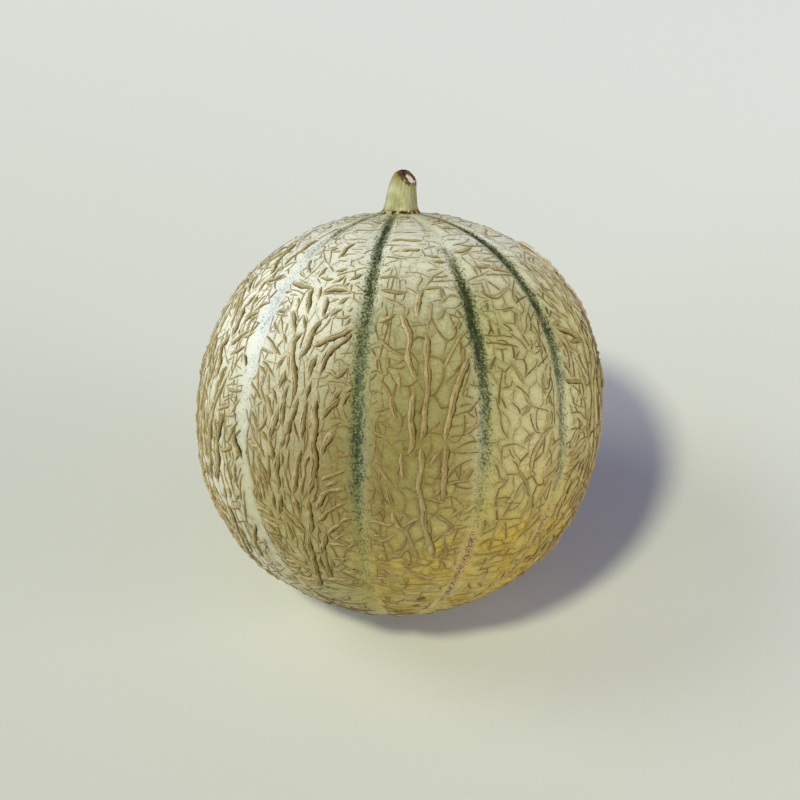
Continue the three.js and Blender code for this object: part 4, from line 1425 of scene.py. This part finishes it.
def rind_finish():
    finish = Finish("rind", RIND_COLOURS)
    broad = finish.noise(22, 3, 0.55)
    blotch = finish.noise(90, 4, 0.6)
    speckle = finish.noise(1500, 2, 0.55)
    finish.colour = finish.blend("olive", "straw", broad.between(0.35, 0.68))
    ground_marks(finish, blotch, speckle)
    crown_marks(finish, speckle)
    green_marks(finish, blotch, speckle)
    low_marks(finish, blotch, speckle)
    finish.bump(finish.noise(420, 4, 0.65) + finish.noise(1500, 2, 0.5) * 0.4, 0.0003, 0.5)
    return finish.finished(0.42 + 0.22 * blotch, 0.4)


def ground_marks(finish, blotch, speckle):
    """The pale crown, partly painted light, the dusky front, the yellow field, painted shade on the skin
    beside the ridges, and the fine marks between the ridges.
    """
    pale, dusk, warm = finish.stored("pale"), finish.stored("dusk"), finish.stored("warm")
    # Pale crown, partly painted light on the left side
    finish.coat("pale", pale)
    finish.coat("dusk", dusk * (0.72 + 0.5 * blotch))
    finish.coat("yellow", warm * (0.55 + 0.7 * blotch.between(0.38, 0.62)))
    veins = (1 - finish.edges(210, (0.7, 1.1, 1.9)).between(0.01, 0.1)) * blotch.between(0.42, 0.6)
    finish.coat("veins", veins * (0.25 + warm * 0.5))
    # Painted shade on the skin next to each ridge's foot, less on the pale crown
    finish.coat("painted ridge shade", finish.stored("beside") * (0.5 + 0.25 * dusk) * (1 - 0.85 * pale))
    finish.coat("dark specks", speckle.between(0.5, 0.72) * 0.4)
    finish.coat("light specks", (1 - speckle.between(0.3, 0.48)) * 0.1)
    haze = finish.stored("haze") * (1 + speckle.swing(2.0) + blotch.swing(1.6))
    finish.coat("haze", haze.between(0.1, 1.3) * 0.85)


def crown_marks(finish, speckle):
    """The ring round the stem and the fine lines that spread from it."""
    crown, east, south = finish.stored("crown"), finish.stored("east"), finish.stored("south")
    fine_lines = finish.noise(1, 2, 0.6, finish.vector(east * 26, south * 26, crown * 0.6))
    finish.coat("crown", crown * 0.6)
    finish.coat("dark lines", crown * fine_lines.between(0.5, 0.6) * 0.9)
    finish.coat("light lines", crown * (1 - fine_lines.between(0.38, 0.46)) * 0.9)
    collar = finish.stored("collar") + speckle.swing(1.4)
    finish.coat("collar", collar.between(0.4, 0.8) * 0.85)


def green_marks(finish, blotch, speckle):
    """The grey-green veil along a suture, its dark dots and, where it is deepest, a dark core."""
    off, down, suture = finish.stored("off"), finish.stored("down"), finish.stored("suture")
    streaks = finish.noise(1, 4, 0.65, finish.vector(off * 0.9, down * 0.22, suture * 31))
    green = finish.stored("green")
    veil = green * 1.1 + blotch.swing(0.7) + streaks.swing(1.0) + speckle.swing(1.2)
    finish.coat("veil", veil.between(0.1, 1.0) * 0.85)
    dots = green * 0.6 + speckle.swing(1.9) + streaks.swing(0.7)
    finish.coat("dots", dots.between(0.34, 0.7) * 0.8)
    core = green * 1.05 + streaks.swing(2.2) + speckle.swing(1.2)
    finish.coat("core", core.between(0.85, 1.4) * 0.85)


def low_marks(finish, blotch, speckle):
    """The tan bands low along two sutures with their flecks, the tail scar and the dark spots."""
    band = finish.stored("band")
    tan = band * 1.2 + blotch.swing(0.6) + speckle.swing(0.9)
    finish.coat("band", tan.between(0.3, 1.0) * 0.55)
    flecks = band * 0.5 + finish.noise(1500, 3, 0.6).swing(1.9)
    finish.coat("flecks", flecks.between(0.4, 0.6) * 0.85)
    finish.coat("scar", finish.stored("scar") * (0.6 + 0.6 * blotch))
    spots = finish.stored("spots") + speckle.swing(1.2)
    finish.coat("spots", spots.between(0.4, 0.6) * 0.9)


def cork_finish():
    finish = Finish("cork", CORK_COLOURS)
    rise, across, bulk = finish.stored("rise"), finish.stored("across"), finish.stored("bulk")
    along, tone = finish.stored("along"), finish.stored("tone")
    grain = finish.noise(1, 4, 0.65, finish.vector(along * 0.9, across * 2.1, tone * 90))
    stretch = finish.noise(1, 2, 0.5, finish.vector(along * 0.2, tone * 50, 0))
    patch = finish.noise(300, 3, 0.6)
    pits = finish.noise(2000, 2, 0.6)
    top_marks(finish, bulk, tone, patch, pits)
    finish.coat("shaded side", across.between(0.0, 0.4) * 0.85)
    # Painted shade: the foot of every ridge, where it meets the skin, is darkened as a shaded crease, less
    # dark where the rind is yellow
    crease_shade = finish.blend("crease_shade", "warm crease shade", finish.stored("warm"))
    finish.coat(crease_shade, 1 - rise.between(0.12, 0.5))
    crack = cork_cracks(across, bulk, grain, stretch)
    finish.coat("cracks", crack * 0.9)
    finish.bump(grain * 0.7 + pits * 0.6 - crack * 0.8, 0.0004, 0.9)
    return finish.finished(0.7 + 0.15 * patch, 0.25)


def top_marks(finish, bulk, tone, patch, pits):
    """The tops of the ridges: broad ones lighter than thin ones, and each as its place on the fruit asks."""
    pale = finish.stored("pale")
    broad_top = finish.blend("deep top", "light top", tone)
    finish.colour = finish.blend("thin top", broad_top, bulk.between(0.32, 0.62))
    # The pale crown on the ridge tops, partly painted light on the left side
    finish.coat("pale", pale * (0.22 + 0.5 * bulk))
    finish.coat("warm", finish.stored("warm") * (0.95 - 0.7 * bulk))
    finish.coat("dusk", finish.stored("dusk") * 0.65)
    finish.coat("whitened", patch.between(0.45, 0.7) * (0.15 + 0.4 * pale))
    finish.coat("pits", pits.between(0.54, 0.68) * 0.6)


def cork_cracks(across, bulk, grain, stretch):
    """Cracks that wander along the tops of the broad ridges, in some stretches of them."""
    shift = across + 0.1 - stretch.swing(0.9)
    middle = 1 - shift * shift * 60
    crack = (middle + grain.swing(1.6)).between(0.4, 0.9) * bulk.between(0.5, 0.8)
    return crack * stretch.between(0.4, 0.54)


def stem_finish():
    finish = Finish("stem", STEM_COLOURS)
    fibres = finish.noise(900, 3, 0.6)
    blotch = finish.noise(240, 3, 0.6)
    flakes = finish.noise(520, 3, 0.6)
    finish.colour = finish.blend("bark", "light bark", blotch.between(0.35, 0.65))
    bark_marks(finish, blotch, flakes)
    break_marks(finish, fibres, flakes)
    finish.bump(fibres + flakes * 0.5, 0.0004, 0.7)
    return finish.finished(0.6 + 0.2 * blotch, 0.3)


def bark_marks(finish, blotch, flakes):
    """The shaded side and the upper part of the stem, its streaks, and the cracks round its foot."""
    height, facing = finish.stored("height"), finish.stored("facing")
    finish.coat("shaded side", (facing + blotch.swing(0.6)).between(0.1, 0.9) * 0.75)
    finish.coat("upper", (height + blotch.swing(0.4)).between(0.55, 0.95) * 0.8)
    streaks = finish.noise(1, 3, 0.6, finish.vector(facing * 15, height * 2.4, 0))
    finish.coat("green streaks", streaks.between(0.42, 0.6) * 0.45)
    finish.coat("light streaks", (1 - streaks.between(0.34, 0.46)) * 0.4)
    low = (1 - height) + flakes.swing(0.12)
    finish.coat("foot", (low + facing * 0.08).between(0.9, 1.0) * 0.7)
    finish.coat("foot cracks", low.between(0.88, 0.95) * flakes.between(0.46, 0.54))
    finish.coat("foot flakes", low.between(0.92, 0.98) * (1 - flakes.between(0.4, 0.47)))


def break_marks(finish, fibres, flakes):
    """The scorched break with its bare wood and pale pith."""
    ragged = fibres.between(0.3, 0.7) + flakes.between(0.3, 0.7) - 1
    broken = finish.stored("scorch") + ragged * 0.5
    finish.coat("singed", broken.between(0.25, 0.6) * 0.6)
    wood = finish.blend("dark wood", "light wood", fibres.between(0.4, 0.6))
    finish.coat(wood, broken.between(0.5, 0.7))
    pith = finish.stored("pith") + ragged * 0.5
    finish.coat("pith", pith.between(0.4, 0.6))


def floor_finish():
    finish = Finish("floor", FLOOR_COLOURS)
    place = finish.node("ShaderNodeSeparateXYZ", {}, {"Vector": finish.place})
    toward_back = Value(finish, place.outputs["Y"]) + Value(finish, place.outputs["X"]) * 0.5
    # Painted light: the floor is darker at the front and left and lighter toward the back and right
    finish.colour = finish.blend("near", "far", toward_back.between(-0.35, 0.6))
    finish.coat("grain", finish.noise(1300, 2, 0.6).between(0.35, 0.65) * 0.08)
    return finish.finished(0.9 + 0.05 * finish.noise(40), 0.1)


# Floor and light

FLOOR_SIZE = 6
# Each light's direction from the fruit, its distance and size in metres, its power and its colour
LIGHTS = {
    "key": ((-0.334, -0.467, 0.819), 4.5, 0.6, 132, (0.98, 1.0, 0.66)),
    "side": ((-0.7, 0.05, 0.72), 3.0, 1.4, 24, (0.98, 1.0, 0.9)),
    "fill": ((0.95, -0.25, 0.04), 1.6, 0.9, 26, (0.98, 0.95, 0.9)),
    "low": ((-0.85, -0.5, 0.04), 1.6, 0.9, 14, (0.92, 0.95, 1.25)),
}
ROOM_COLOUR, ROOM_STRENGTH = (0.78, 0.81, 1.6, 1), 0.145


def build_floor():
    deselect()
    bpy.ops.mesh.primitive_plane_add(size=FLOOR_SIZE, location=(0, 0, 0))
    floor = bpy.context.object
    floor.name = "floor"
    floor.data.materials.append(floor_finish())
    smooth(floor)


def add_light(name, toward, distance, size, power, colour):
    data = bpy.data.lights.new(name, "AREA")
    data.shape = "DISK"
    data.size = size
    data.energy = power
    data.color = colour
    light = bpy.data.objects.new(name, data)
    bpy.context.scene.collection.objects.link(light)
    heading = Vector(toward).normalized()
    light.location = Vector((0, 0, CENTRE_HEIGHT * MM)) + heading * distance
    light.rotation_euler = heading.to_track_quat("Z", "Y").to_euler()


def light_scene():
    for name, settings in LIGHTS.items():
        add_light(name, *settings)
    world = bpy.data.worlds.new("room")
    world.use_nodes = True
    room = world.node_tree.nodes["Background"]
    room.inputs["Color"].default_value = ROOM_COLOUR
    room.inputs["Strength"].default_value = ROOM_STRENGTH
    bpy.context.scene.world = world
    bpy.context.scene.view_settings.view_transform = "Standard"


def main():
    camera = add_camera()
    drawing = draw_net(camera)
    build_rind(drawing, rind_finish(), camera)
    build_net(drawing, cork_finish())
    build_stem(stem_finish())
    build_floor()
    light_scene()


main()
